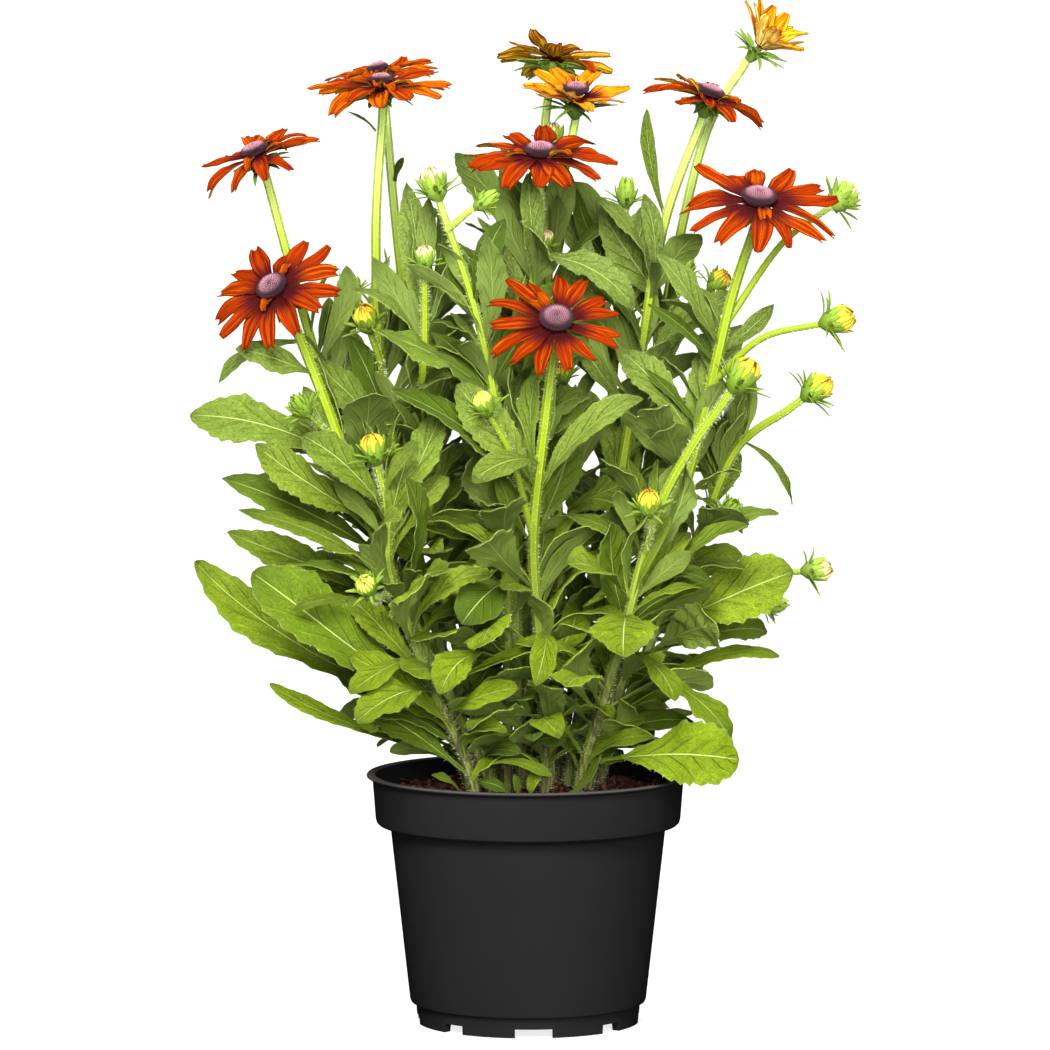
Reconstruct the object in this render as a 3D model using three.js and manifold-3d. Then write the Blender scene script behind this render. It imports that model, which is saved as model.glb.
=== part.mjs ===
// A potted orange coneflower: a leafy clump of hairy stems in a plain nursery pot of peat.
// Millimetres, +Z up, origin on the pot's axis at the surface that it stands on.
// The front of the plant faces -Y.

import * as THREE from "three";
import { mergeVertices } from "three/addons/utils/BufferGeometryUtils.js";
import Module from "manifold-3d";

const wasm = await Module();
wasm.setup();

// The pot: a 3 litre nursery container, 19 cm across its lip.
const POT = {
  height: 147,
  lipRadius: 95,
  lipDepth: 2.4,
  bandTopRadius: 91.5,
  bandFootRadius: 89.7,
  bandFootHeight: 118.5,
  bodyTopRadius: 80.6,
  bodyTopHeight: 112.5,
  bodyFootRadius: 69,
  ledgeHeight: 12.5,
  footRadius: 66,
  footInnerRadius: 60.5,
  floorHeight: 6,
  wall: 1.7,
  chamfer: 0.8,
  innerStep: 1.2,
  sides: 32,
};
const NOTCHES = { count: 8, turn: -87, wide: 29, narrow: 16, height: 5.2, depth: 16 };
const DRAINS = { count: 4, radius: 4.5, reach: 42, sides: 8 };

// The soil fills the pot with a small gap to its wall and rises a little to the middle.
const SOIL = {
  gap: 0.8,
  step: 1.5,
  edgeHeight: 134.5,
  crownHeight: 139.5,
  rings: [0.72, 0.38],
  crumb: 1.6,
  sides: 24,
};

// A stem starts this high, under the soil, at this share of its first point's offset.
const ROOT = { height: 114, draw: 0.86, hole: 0.35 };
const STEM = { sides: 5, rows: 7 };
const BRANCH = { sides: 3, rows: 4, radii: [2.2, 1.8] };
const LEAF_THICKNESS = 1.2;
const LEAF_TOOTH = 0.08;
const RAY_THICKNESS = 1.2;
const DISC = { sides: 12, stud: 0.8, flatSlope: 0.15 };
const CALYX = { bracts: 6, length: 15, vary: 5 };
const BUD_BRACTS = 5;
const BUD_RIDGES = 5;

// Stems. path: hand-chosen points of the axis, from the soil to the centre of what it carries.
// radii: at the foot and under the head. leafy: heights between which leaves grow by rule.
const STEMS = [
  {
    name: "stem_01",
    path: [[10, -30, 149], [7, -50, 225], [3, -66, 291], [10, -85, 362], [16, -95, 418]],
    radii: [3.4, 2.6],
    leafy: [168, 345],
    leaves: 5,
  },
  {
    name: "stem_02",
    path: [[-4, -14, 149], [-7, -20, 251], [-5, -22, 351], [5, -20, 450], [7, -18, 510]],
    radii: [3.4, 2.5],
    leafy: [160, 455],
    leaves: 8,
  },
  {
    name: "stem_03",
    path: [[14, 10, 147], [19, 22, 247], [16, 28, 335], [12, 32, 441], [28, 30, 542]],
    radii: [3.3, 2.2],
    leafy: [170, 460],
    leaves: 7,
  },
  {
    name: "stem_04",
    path: [[1, 28, 148], [-5, 48, 244], [-2, 62, 351], [6, 68, 481], [15, 70, 565]],
    radii: [3.3, 2.2],
    leafy: [160, 470],
    leaves: 8,
  },
  {
    name: "stem_05",
    path: [[-31, -3, 149], [-58, 8, 248], [-84, 10, 366], [-89, 6, 460], [-85.5, 0, 550]],
    radii: [3.3, 2.4],
    leafy: [160, 405],
    leaves: 7,
  },
  {
    name: "stem_06",
    path: [[-17, 20, 148], [-39, 38, 234], [-62, 54, 334], [-77, 68, 452], [-88.5, 77, 555]],
    radii: [3.2, 2.3],
    leafy: [160, 410],
    leaves: 8,
  },
  {
    name: "stem_07",
    path: [[-37, -17, 150], [-72, -16, 251], [-107, -16, 339], [-133, -12, 426], [-158, -8, 510]],
    radii: [3.3, 2.3],
    leafy: [165, 420],
    leaves: 6,
  },
  {
    name: "stem_08",
    path: [[-24, -32, 150], [-57, -42, 218], [-90, -46, 295], [-121, -50, 379], [-146, -55, 434]],
    radii: [3.5, 2.6],
    leafy: [170, 350],
    leaves: 4,
  },
  {
    name: "stem_09",
    path: [[24, 1, 147], [42, 8, 248], [62, 14, 366], [79, 20, 465], [106, 22, 543]],
    radii: [3.3, 2.4],
    leafy: [165, 440],
    leaves: 6,
  },
  {
    name: "stem_10",
    path: [[29, 24, 147], [53, 38, 257], [73, 46, 375], [102, 56, 511], [138, 60, 573]],
    radii: [3.3, 2.3],
    leafy: [160, 440],
    leaves: 8,
  },
  {
    name: "stem_11",
    path: [[37, -18, 149], [71, -36, 253], [98, -50, 347], [117, -58, 429], [132, -64, 485]],
    radii: [3.5, 2.6],
    leafy: [170, 430],
    leaves: 6,
  },
  {
    name: "stem_12",
    path: [[31, -40, 150], [54, -60, 232], [73, -70, 303], [93, -78, 344], [124, -86, 389]],
    radii: [3.3, 2.2],
    leafy: [185, 330],
    leaves: 3,
  },
  {
    name: "stem_13",
    path: [[-32, -48, 150], [-57, -60, 208], [-79, -68, 268], [-81, -72, 309], [-89, -80, 346]],
    radii: [3.2, 2.1],
    leafy: [175, 320],
    leaves: 4,
  },
  {
    name: "stem_14",
    path: [[44, 10, 147], [75, 6, 231], [101, -6, 291], [122, -16, 340], [169, -30, 377]],
    radii: [3.2, 2],
    leafy: [165, 345],
    leaves: 5,
  },
  {
    name: "stem_15",
    path: [[18, 40, 146], [36, 56, 244], [48, 58, 346], [54, 46, 429], [58, 38, 487]],
    radii: [3.1, 1.9],
    leafy: [160, 460],
    leaves: 8,
  },
  {
    name: "stem_16",
    path: [[-12, -28, 149], [-12, -42, 253], [-16, -50, 347], [-29, -50, 417], [-55, -46, 497]],
    radii: [3.2, 1.9],
    leafy: [165, 450],
    leaves: 6,
  },
  {
    name: "stem_17",
    path: [[-20, 3, 147], [-46, -12, 239], [-61, -22, 334], [-60, -28, 404], [-60, -34, 453]],
    radii: [3.1, 1.9],
    leafy: [165, 430],
    leaves: 6,
  },
];

// Blooms. axis: the way the disc faces. dome: the radius of its florets where it is narrower.
// rise: the rays' first slope above the disc's plane, in radians, and curl: how far they turn down
// along their length.
const BLOOMS = [
  {
    name: "bloom_01", stem: "stem_07", axis: [-0.36, -0.24, 0.9],
    reach: 36, rays: 12, disc: 9, rise: 0.16, curl: 0.45,
  },
  {
    name: "bloom_02", stem: "stem_08", axis: [-0.42, -0.6, 0.68],
    reach: 40, rays: 14, disc: 10, rise: 0.18, curl: 0.42,
  },
  {
    name: "bloom_03", stem: "stem_05", axis: [-0.04, -0.16, 0.98],
    reach: 40, rays: 14, disc: 9.5, dome: 6.6, rise: 0.1, curl: 0.25,
  },
  {
    name: "bloom_04", stem: "stem_06", axis: [-0.2, -0.1, 0.97],
    reach: 34, rays: 12, disc: 9, dome: 6.2, rise: 0.14, curl: 0.22,
  },
  {
    name: "bloom_05", stem: "stem_04", axis: [0.14, 0.3, 0.94],
    reach: 36, rays: 14, disc: 9.5, rise: 0.12, curl: 0.3,
  },
  {
    name: "bloom_06", stem: "stem_03", axis: [0.05, -0.3, 0.95],
    reach: 32, rays: 13, disc: 9, dome: 7.4, rise: 0.45, curl: 0.35,
  },
  {
    name: "bloom_07", stem: "stem_02", axis: [0.02, -0.3, 0.95],
    reach: 43, rays: 14, disc: 10, rise: 0.08, curl: 0.38,
  },
  {
    name: "bloom_08", stem: "stem_01", axis: [0.04, -0.7, 0.71],
    reach: 40, rays: 15, disc: 10.5, rise: 0.14, curl: 0.3,
  },
  {
    name: "bloom_09", stem: "stem_09", axis: [0.3, -0.18, 0.93],
    reach: 38, rays: 12, disc: 9, rise: 0.12, curl: 0.28,
  },
  {
    name: "bloom_10", stem: "stem_11", axis: [0.1, -0.44, 0.89],
    reach: 48, rays: 14, disc: 11, rise: 0.12, curl: 0.35,
  },
  {
    name: "bloom_11", stem: "stem_10", axis: [0.62, -0.2, 0.76],
    reach: 27, rays: 12, disc: 6.5, dome: 2.6, rise: 0.95, curl: 0.15,
  },
];

// Buds. One with no path sits on its stem's own end. A green one is one piece with its stem.
const BUDS = [
  {
    name: "bud_01", stem: "stem_01", path: [[3, -66, 291], [-9, -84, 339], [-26, -98, 373]],
    radius: 7, tone: "lime",
  },
  {
    name: "bud_02", stem: "stem_03", path: [[16, 28, 335], [25, 10, 360], [20, -4, 384]],
    radius: 6, tone: "yellow",
  },
  {
    name: "bud_03", stem: "stem_03", path: [[12, 31, 441], [15, 42, 486], [15, 50, 521]],
    radius: 7, tone: "cream",
  },
  {
    name: "bud_04", stem: "stem_03", path: [[13, 31, 410], [7, 18, 436], [10, 10, 461]],
    radius: 5.5, tone: "cream",
  },
  {
    name: "bud_05", stem: "stem_05", path: [[-84, 10, 366], [-86, -8, 388], [-95, -22, 417]],
    radius: 8, tone: "yellow",
  },
  {
    name: "bud_06", stem: "stem_05", path: [[-87, 8, 412], [-98, 12, 422], [-104, 10, 434]],
    radius: 6.5, tone: "green",
  },
  {
    name: "bud_07", stem: "stem_08", path: [[-110, -48, 347], [-121, -62, 357], [-131, -74, 369]],
    radius: 7, tone: "green",
  },
  {
    name: "bud_08", stem: "stem_10", path: [[77, 48, 399], [87, 44, 423], [93, 40, 443]],
    radius: 6, tone: "green",
  },
  {
    name: "bud_09", stem: "stem_09", path: [[64, 15, 377], [84, 2, 410], [112, -12, 438]],
    radius: 7, tone: "yellow",
  },
  {
    name: "bud_10", stem: "stem_11", path: [[114, -57, 415], [146, -46, 460], [184, -18, 487]],
    radius: 9, tone: "cream",
  },
  {
    name: "bud_11", stem: "stem_11", path: [[106, -54, 380], [134, -66, 407], [179, -78, 419]],
    radius: 9, tone: "yellow",
  },
  { name: "bud_12", stem: "stem_12", radius: 10, tone: "yellow" },
  {
    name: "bud_13", stem: "stem_12", path: [[67, -67, 282], [70, -80, 298], [69, -88, 315]],
    radius: 7.5, tone: "yellow",
  },
  { name: "bud_14", stem: "stem_13", radius: 8, tone: "yellow" },
  {
    name: "bud_15", stem: "stem_13", path: [[-77, -67, 262], [-87, -84, 258], [-93, -97, 268]],
    radius: 7, tone: "lime",
  },
  { name: "bud_16", stem: "stem_14", radius: 9, tone: "yellow" },
  {
    name: "bud_17", stem: "stem_14", path: [[75, 6, 231], [118, 0, 261], [171, -6, 268]],
    radius: 8, tone: "cream",
  },
  {
    name: "bud_18", stem: "stem_14", path: [[101, -6, 291], [111, -22, 296], [118, -34, 306]],
    radius: 6.5, tone: "green",
  },
  {
    name: "bud_19", stem: "stem_14", path: [[64, 7, 206], [108, 20, 240], [146, 30, 243]],
    radius: 6.5, tone: "green",
  },
  { name: "bud_20", stem: "stem_15", radius: 7, tone: "green" },
  { name: "bud_21", stem: "stem_16", radius: 9, tone: "cream" },
  {
    name: "bud_22", stem: "stem_16", path: [[-47, -48, 468], [-36, -52, 478], [-24, -54, 486]],
    radius: 6, tone: "green",
  },
  {
    name: "bud_23", stem: "stem_16", path: [[-12, -41, 246], [-22, -54, 256], [-28, -60, 270]],
    radius: 5.5, tone: "green",
  },
  { name: "bud_24", stem: "stem_17", radius: 6.5, tone: "cream" },
];

// Leaves set by hand: the height on the stem, the tip, the width, the turn along the leaf in
// radians, the way its upper face looks and, where it stands out, how blunt its tip is.
const KEY_LEAVES = [
  {
    stem: "stem_08", from: 334, tip: [-195, -58, 362], width: 31, bend: 0.5, face: [0.2, -0.7, 0.65],
    blunt: 0.8,
  },
  { stem: "stem_08", from: 300, tip: [-158, -76, 346], width: 31, bend: 0.4, face: [0.1, -0.8, 0.6] },
  { stem: "stem_07", from: 274, tip: [-177, -46, 325], width: 27, bend: 0.5, face: [-0.1, -0.85, 0.5] },
  {
    stem: "stem_07", from: 246, tip: [-176, -38, 291], width: 23, bend: 0.3, face: [0.1, -0.8, 0.55],
    blunt: 0.7,
  },
  { stem: "stem_07", from: 187, tip: [-197, -10, 272], width: 31, bend: -0.65, face: [0.1, -0.85, 0.5] },
  {
    stem: "stem_08", from: 182, tip: [-156, -82, 275], width: 43, bend: 0.15, face: [0.1, -0.9, 0.4],
    blunt: 1,
  },
  { stem: "stem_07", from: 158, tip: [-152, -30, 201], width: 13, bend: -0.1, face: [0.2, -0.5, 0.85] },
  {
    stem: "stem_13", from: 200, tip: [-98, -112, 192], width: 26, bend: 1.3, face: [0.1, -0.7, 0.7],
    blunt: 0.7,
  },
  { stem: "stem_16", from: 262, tip: [-38, -96, 246], width: 27, bend: 1.3, face: [0.2, -0.7, 0.7] },
  { stem: "stem_16", from: 215, tip: [-50, -98, 204], width: 24, bend: 1.5, face: [-0.3, -0.5, 0.8] },
  { stem: "stem_01", from: 232, tip: [4, -108, 211], width: 18, bend: 1.8, face: [0.4, -0.4, 0.8] },
  {
    stem: "stem_12", from: 246, tip: [54, -128, 228], width: 40, bend: 0.9, face: [0, -0.8, 0.6],
    blunt: 0.2,
  },
  { stem: "stem_12", from: 226, tip: [84, -106, 202], width: 19, bend: 1, face: [0.5, -0.6, 0.6] },
  { stem: "stem_11", from: 210, tip: [122, -56, 169], width: 25, bend: 1.4, face: [0.5, -0.5, 0.7] },
  {
    stem: "stem_12", from: 158, tip: [121, -98, 167], width: 42, bend: -0.1, face: [0, -0.9, 0.45],
    blunt: 1,
  },
  {
    stem: "stem_14", from: 232, tip: [154, -30, 270], width: 41, bend: 0.9, face: [-0.2, -0.85, 0.5],
    blunt: 0.6,
  },
  { stem: "stem_14", from: 192, tip: [148, 0, 221], width: 17, bend: 0.7, face: [0, -0.4, 0.9] },
  { stem: "stem_11", from: 268, tip: [126, -72, 300], width: 21, bend: 0.5, face: [-0.2, -0.6, 0.8] },
  { stem: "stem_03", from: 290, tip: [65, -14, 320], width: 27, bend: 0.8, face: [-0.1, -0.6, 0.8] },
  {
    stem: "stem_09", from: 472, tip: [69, 28, 536], width: 9, bend: -0.15, face: [-0.4, -0.9, 0.2],
    blunt: 0.8,
  },
  { stem: "stem_14", from: 344, tip: [154, -6, 306], width: 15, bend: 1.1, face: [0.5, -0.4, 0.7] },
  { stem: "stem_08", from: 385, tip: [-168, -72, 402], width: 21, bend: 0.6, face: [0, -0.6, 0.8] },
  { stem: "stem_07", from: 402, tip: [-182, -30, 381], width: 17, bend: 1, face: [-0.4, -0.5, 0.7] },
  { stem: "stem_02", from: 452, tip: [62, -40, 423], width: 24, bend: 1.1, face: [0.1, -0.7, 0.7] },
  { stem: "stem_01", from: 318, tip: [63, -108, 379], width: 24, bend: 0.7, face: [-0.5, -0.6, 0.6] },
  { stem: "stem_09", from: 378, tip: [121, -34, 428], width: 27, bend: 0.7, face: [-0.2, -0.6, 0.8] },
  { stem: "stem_11", from: 224, tip: [47, -72, 302], width: 26, bend: -0.2, face: [0.2, -0.9, 0.3] },
  { stem: "stem_01", from: 300, tip: [-80, -82, 376], width: 28, bend: 1, face: [0.3, -0.6, 0.7] },
  { stem: "stem_01", from: 336, tip: [-32, -118, 330], width: 19, bend: 1.2, face: [0.1, -0.5, 0.85] },
  { stem: "stem_13", from: 286, tip: [-45, -76, 371], width: 22, bend: 0.3, face: [-0.5, -0.8, 0.3] },
  { stem: "stem_13", from: 304, tip: [-129, -90, 353], width: 25, bend: 0.4, face: [0.2, -0.8, 0.6] },
  { stem: "stem_13", from: 222, tip: [-102, -92, 205], width: 22, bend: 1, face: [-0.3, -0.7, 0.6] },
  { stem: "stem_12", from: 190, tip: [22, -150, 214], width: 30, bend: 0.9, face: [0, -0.5, 0.9] },
  { stem: "stem_02", from: 330, tip: [-52, -62, 398], width: 27, bend: 0.8, face: [0.1, -0.7, 0.7] },
  { stem: "stem_03", from: 395, tip: [36, -22, 462], width: 23, bend: 0.7, face: [0.2, -0.8, 0.5] },
  { stem: "stem_05", from: 330, tip: [-128, -34, 392], width: 27, bend: 0.8, face: [0.2, -0.7, 0.7] },
  { stem: "stem_05", from: 250, tip: [-98, -58, 318], width: 29, bend: 0.7, face: [0.1, -0.8, 0.6] },
  { stem: "stem_16", from: 380, tip: [22, -84, 440], width: 24, bend: 0.8, face: [0.1, -0.8, 0.6] },
  { stem: "stem_10", from: 420, tip: [42, 8, 478], width: 25, bend: 0.7, face: [-0.3, -0.7, 0.6] },
  { stem: "stem_04", from: 205, tip: [14, 150, 262], width: 32, bend: 0.8, face: [0, 0.4, 0.9] },
  { stem: "stem_06", from: 180, tip: [-84, 132, 214], width: 30, bend: 0.9, face: [0, 0.4, 0.9] },
  { stem: "stem_10", from: 190, tip: [112, 120, 232], width: 31, bend: 0.8, face: [0.2, 0.4, 0.9] },
  { stem: "stem_15", from: 300, tip: [66, 136, 348], width: 25, bend: 0.8, face: [0.2, 0.4, 0.9] },
  { stem: "stem_06", from: 300, tip: [-118, 112, 352], width: 26, bend: 0.8, face: [-0.2, 0.4, 0.9] },
  {
    stem: "stem_08", from: 262, tip: [-167, -82, 308], width: 16, bend: 0.6, face: [0, -0.6, 0.8],
    blunt: 0.3,
  },
  { stem: "stem_11", from: 330, tip: [108, -20, 404], width: 21, bend: 0.3, face: [-0.2, -0.95, 0.1] },
  { stem: "stem_14", from: 300, tip: [130, 4, 372], width: 17, bend: 0.3, face: [-0.3, -0.9, 0.2] },
  { stem: "stem_11", from: 398, tip: [142, -40, 425], width: 11, bend: 0.5, face: [0.3, -0.8, 0.5] },
  { stem: "stem_14", from: 215, tip: [142, 18, 232], width: 24, bend: 0.8, face: [0, -0.6, 0.8] },
  { stem: "stem_17", from: 398, tip: [-70, 14, 492], width: 22, bend: 0.4, face: [-0.3, -0.8, 0.4] },
  { stem: "stem_15", from: 400, tip: [72, 20, 482], width: 24, bend: 0.6, face: [0.2, -0.8, 0.5] },
  { stem: "stem_05", from: 345, tip: [-104, -10, 405], width: 20, bend: 0.3, face: [0.1, -0.9, 0.3] },
];

// How leaves that grow by rule change from the lowest, at 0, to the highest, at 1.
const LEAF_RULE = {
  lowest: 150,
  highest: 470,
  turn: 2.3999,
  reach: [112, 78],
  lift: [0.34, 1],
  slimness: [0.4, 0.34],
  bend: [1, 0.6],
  swing: 0.44,
  tries: 15,
  shorten: 0.95,
  inward: 0.3,
  outface: 0.5,
  roll: 0.55,
};
// Low leaves have longer stalks and blunter tips than high ones.
const LEAF_FORM = { lowest: 150, highest: 380, stalk: 0.22, blunt: [0.6, 0.05], vary: 0.5 };
const KEY_TRIES = 9;
const KEY_NUDGE = 6;
const CLEARANCE = 0.7;

// Half the width of the foliage at a height: it is widest at the middle and rounds in above.
const ENVELOPE = [[150, 84], [180, 112], [230, 142], [300, 166], [380, 162], [430, 138], [500, 96]];
const ENVELOPE_RIGHT = 0.9;
const ENVELOPE_DEPTH = 0.88;

const COLOURS = {
  pot: { color: "#262626", roughness: 0.45, metalness: 0 },
  soil: { color: "#2e1a12", roughness: 0.95, metalness: 0 },
  green: { color: "#6f9a35", roughness: 0.6, metalness: 0 },
  orange: { color: "#c8470f", roughness: 0.5, metalness: 0 },
  amber: { color: "#e79a1c", roughness: 0.5, metalness: 0 },
  disc: { color: "#4a2630", roughness: 0.85, metalness: 0 },
  yellow: { color: "#e6c62a", roughness: 0.5, metalness: 0 },
  cream: { color: "#e6d9a0", roughness: 0.5, metalness: 0 },
  lime: { color: "#b9cc4a", roughness: 0.5, metalness: 0 },
};
const RAY_TONES = { bloom_06: "amber", bloom_11: "amber" };

const UP = new THREE.Vector3(0, 0, 1);
const AXIS_HELPER = new THREE.Vector3(0, 1, 0);

const vector = (list) => new THREE.Vector3(...list);
const mix = (low, high, share) => low + (high - low) * share;
const along = (start, direction, distance) => start.clone().addScaledVector(direction, distance);

// A repeatable draw from 0 to 1 for three whole numbers.
function draw(a, b, c) {
  const raw = Math.sin(a * 127.1 + b * 311.7 + c * 74.7) * 43758.5453;
  return raw - Math.floor(raw);
}

// A closed geometry as a solid whose faces point outwards.
function solid(geometry) {
  const bare = new THREE.BufferGeometry();
  bare.setAttribute("position", geometry.getAttribute("position"));
  bare.setIndex(geometry.index);
  const merged = mergeVertices(bare, 1e-3);
  const corners = [...merged.index.array];
  const faces = [];
  for (let i = 0; i < corners.length; i += 3) {
    const [a, b, c] = corners.slice(i, i + 3);
    if (a !== b && b !== c && c !== a) faces.push([a, b, c]);
  }
  const build = (triangles) =>
    new wasm.Manifold(
      new wasm.Mesh({
        numProp: 3,
        vertProperties: merged.getAttribute("position").array,
        triVerts: new Uint32Array(triangles.flat()),
      }),
    );
  const made = build(faces);
  return made.volume() > 0 ? made : build(faces.map(([a, b, c]) => [a, c, b]));
}

// The largest body of a solid: sealed hollows and loose scraps are left out.
function mainBody(joined) {
  const bodies = joined.decompose();
  return bodies.reduce((best, body) => (body.volume() > best.volume() ? body : best));
}

const fuse = (solids) => mainBody(solids.reduce((whole, piece) => whole.add(piece)));

function meshOf(name, shape, tone) {
  const { vertProperties, triVerts } = shape.getMesh();
  const geometry = new THREE.BufferGeometry();
  geometry.setAttribute("position", new THREE.BufferAttribute(vertProperties, 3));
  geometry.setIndex(new THREE.BufferAttribute(triVerts, 1));
  geometry.computeVertexNormals();
  const mesh = new THREE.Mesh(geometry, new THREE.MeshStandardMaterial(COLOURS[tone]));
  mesh.name = name;
  return mesh;
}

// A profile of [radius, height] points turned about +Z, with an optional move of each point.
function turned(profile, sides, shift = () => 0) {
  const lathe = new THREE.LatheGeometry(profile.map(([r, z]) => new THREE.Vector2(r, z)), sides);
  lathe.rotateX(Math.PI / 2);
  const position = lathe.getAttribute("position");
  for (let i = 0; i < position.count; i += 1) {
    const step = Math.floor(i / profile.length) % sides;
    position.setZ(i, position.getZ(i) + shift(step, i % profile.length));
  }
  return lathe;
}

function pot() {
  const p = POT;
  const lipFoot = p.height - p.lipDepth;
  const inner = (radius) => radius - p.wall;
  const profile = [
    [0, p.floorHeight],
    [p.footInnerRadius - p.chamfer, p.floorHeight],
    [p.footInnerRadius, 0],
    [p.footRadius - p.chamfer, 0],
    [p.footRadius, p.ledgeHeight - p.chamfer],
    [p.bodyFootRadius, p.ledgeHeight],
    [p.bodyTopRadius, p.bodyTopHeight],
    [p.bandFootRadius, p.bandFootHeight],
    [p.bandTopRadius, lipFoot],
    [p.lipRadius, lipFoot + p.chamfer],
    [p.lipRadius - p.chamfer, p.height],
    [inner(p.bandTopRadius), p.height],
    [inner(p.bandFootRadius), p.bandFootHeight + p.innerStep],
    [inner(p.bodyTopRadius), p.bodyTopHeight + p.innerStep],
    [inner(p.bodyFootRadius), p.ledgeHeight + p.innerStep],
    [inner(p.footRadius - p.chamfer), p.floorHeight + p.wall],
    [0, p.floorHeight + p.wall],
  ];
  let body = solid(turned(profile, p.sides));
  for (let i = 0; i < NOTCHES.count; i += 1) {
    const width = i % 2 ? NOTCHES.narrow : NOTCHES.wide;
    const block = new THREE.BoxGeometry(NOTCHES.depth, width, NOTCHES.height * 2);
    block.translate(p.footRadius, 0, 0);
    block.rotateZ(THREE.MathUtils.degToRad(NOTCHES.turn + (360 / NOTCHES.count) * i));
    body = body.subtract(solid(block));
  }
  for (let i = 0; i < DRAINS.count; i += 1) {
    const hole = new THREE.CylinderGeometry(DRAINS.radius, DRAINS.radius, p.floorHeight * 2, DRAINS.sides);
    hole.rotateX(Math.PI / 2);
    hole.translate(DRAINS.reach, 0, p.floorHeight);
    hole.rotateZ((2 * Math.PI * i) / DRAINS.count);
    body = body.subtract(solid(hole));
  }
  return body;
}

// The height of the soil at a distance from the pot's axis.
function soilHeight(radius) {
  const share = radius / inside(POT.bandTopRadius);
  return mix(SOIL.crownHeight, SOIL.edgeHeight, share * share);
}

function inside(radius) {
  return radius - POT.wall - SOIL.gap;
}

function soil(holes) {
  const floor = POT.floorHeight + POT.wall + SOIL.gap;
  const edge = inside(mix(POT.bandFootRadius, POT.bandTopRadius, 0.5));
  const rings = SOIL.rings.map((share) => share * edge);
  const profile = [
    [0, floor],
    [inside(POT.footRadius - POT.chamfer), floor],
    [inside(POT.bodyFootRadius), POT.ledgeHeight + SOIL.step],
    [inside(POT.bodyTopRadius), POT.bodyTopHeight + SOIL.step],
    [inside(POT.bandFootRadius), POT.bandFootHeight + SOIL.step],
    [edge, SOIL.edgeHeight],
    ...rings.map((radius) => [radius, soilHeight(radius)]),
    [0, SOIL.crownHeight],
  ];
  const firstRing = profile.length - rings.length - 1;
  const lastRing = profile.length - 2;
  const crumble = (step, ring) =>
    ring < firstRing || ring > lastRing ? 0 : (draw(step, ring, 5) - 0.5) * 2 * SOIL.crumb;
  return holes.reduce((body, hole) => body.subtract(hole), solid(turned(profile, SOIL.sides, crumble)));
}

const curveThrough = (points) => new THREE.CatmullRomCurve3(points, false, "catmullrom", 0.5);

// A round bar bent along a curve, its radius changing evenly from end to end.
function rod(curve, radii, sides, rows) {
  const bar = new THREE.CylinderGeometry(1, 1, 1, sides, rows);
  const frames = [];
  let side = new THREE.Vector3(1, 0, 0);
  for (let row = 0; row <= rows; row += 1) {
    const tangent = curve.getTangent(row / rows).normalize();
    side = side.clone().addScaledVector(tangent, -side.dot(tangent)).normalize();
    frames.push({ at: curve.getPoint(row / rows), side, other: tangent.clone().cross(side) });
  }
  const position = bar.getAttribute("position");
  for (let i = 0; i < position.count; i += 1) {
    const share = position.getY(i) + 0.5;
    const frame = frames[Math.round(share * rows)];
    const radius = mix(radii[0], radii[1], share);
    const point = along(frame.at, frame.side, position.getX(i) * radius);
    point.addScaledVector(frame.other, position.getZ(i) * radius);
    position.setXYZ(i, ...point);
  }
  return solid(bar);
}

// The share of its full half width that a blade has at u, from its root to its tip.
const OUTLINES = {
  leaf: (u, { stalk, blunt }) => {
    const share = Math.max(0, (u - stalk) / (1 - stalk));
    return Math.sin(Math.PI * share ** (1.35 + 0.55 * blunt)) ** (0.9 - 0.34 * blunt);
  },
  petal: (u) => Math.min(1, 0.24 + 1.5 * u) * (1 - 0.64 * u ** 4),
};

// A point of a blade. u runs from its root to its tip and v across it, from -1 to 1.
// The midrib is an arc that turns down by bend, and the sides fold up and wave.
function bladePoint(b, u, v) {
  const turn = b.bend * u;
  const run = Math.abs(b.bend) < 1e-3 ? u : Math.sin(turn) / b.bend;
  const drop = Math.abs(b.bend) < 1e-3 ? 0 : (1 - Math.cos(turn)) / b.bend;
  const sway = b.sway * 4 * u * (1 - u);
  const middle = along(b.root, b.heading, b.length * run);
  middle.addScaledVector(b.up, -b.length * drop).addScaledVector(b.side, b.length * sway);
  const normal = b.up.clone().multiplyScalar(Math.cos(turn)).addScaledVector(b.heading, Math.sin(turn));
  const roll = b.twist * u;
  const across = b.side.clone().multiplyScalar(Math.cos(roll)).addScaledVector(normal, Math.sin(roll));
  const face = normal.multiplyScalar(Math.cos(roll)).addScaledVector(b.side, -Math.sin(roll));
  const half = 0.5 * b.width * OUTLINES[b.outline](u, b);
  const ripple = b.wave * Math.sin(2 * Math.PI * b.waves * u + b.phase + (v < 0 ? 2.2 : 0));
  const lift = half * Math.abs(v) * (Math.sin(b.fold) + ripple);
  const at = middle.addScaledVector(across, half * v * Math.cos(b.fold)).addScaledVector(face, lift);
  return { at, face };
}

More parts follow.
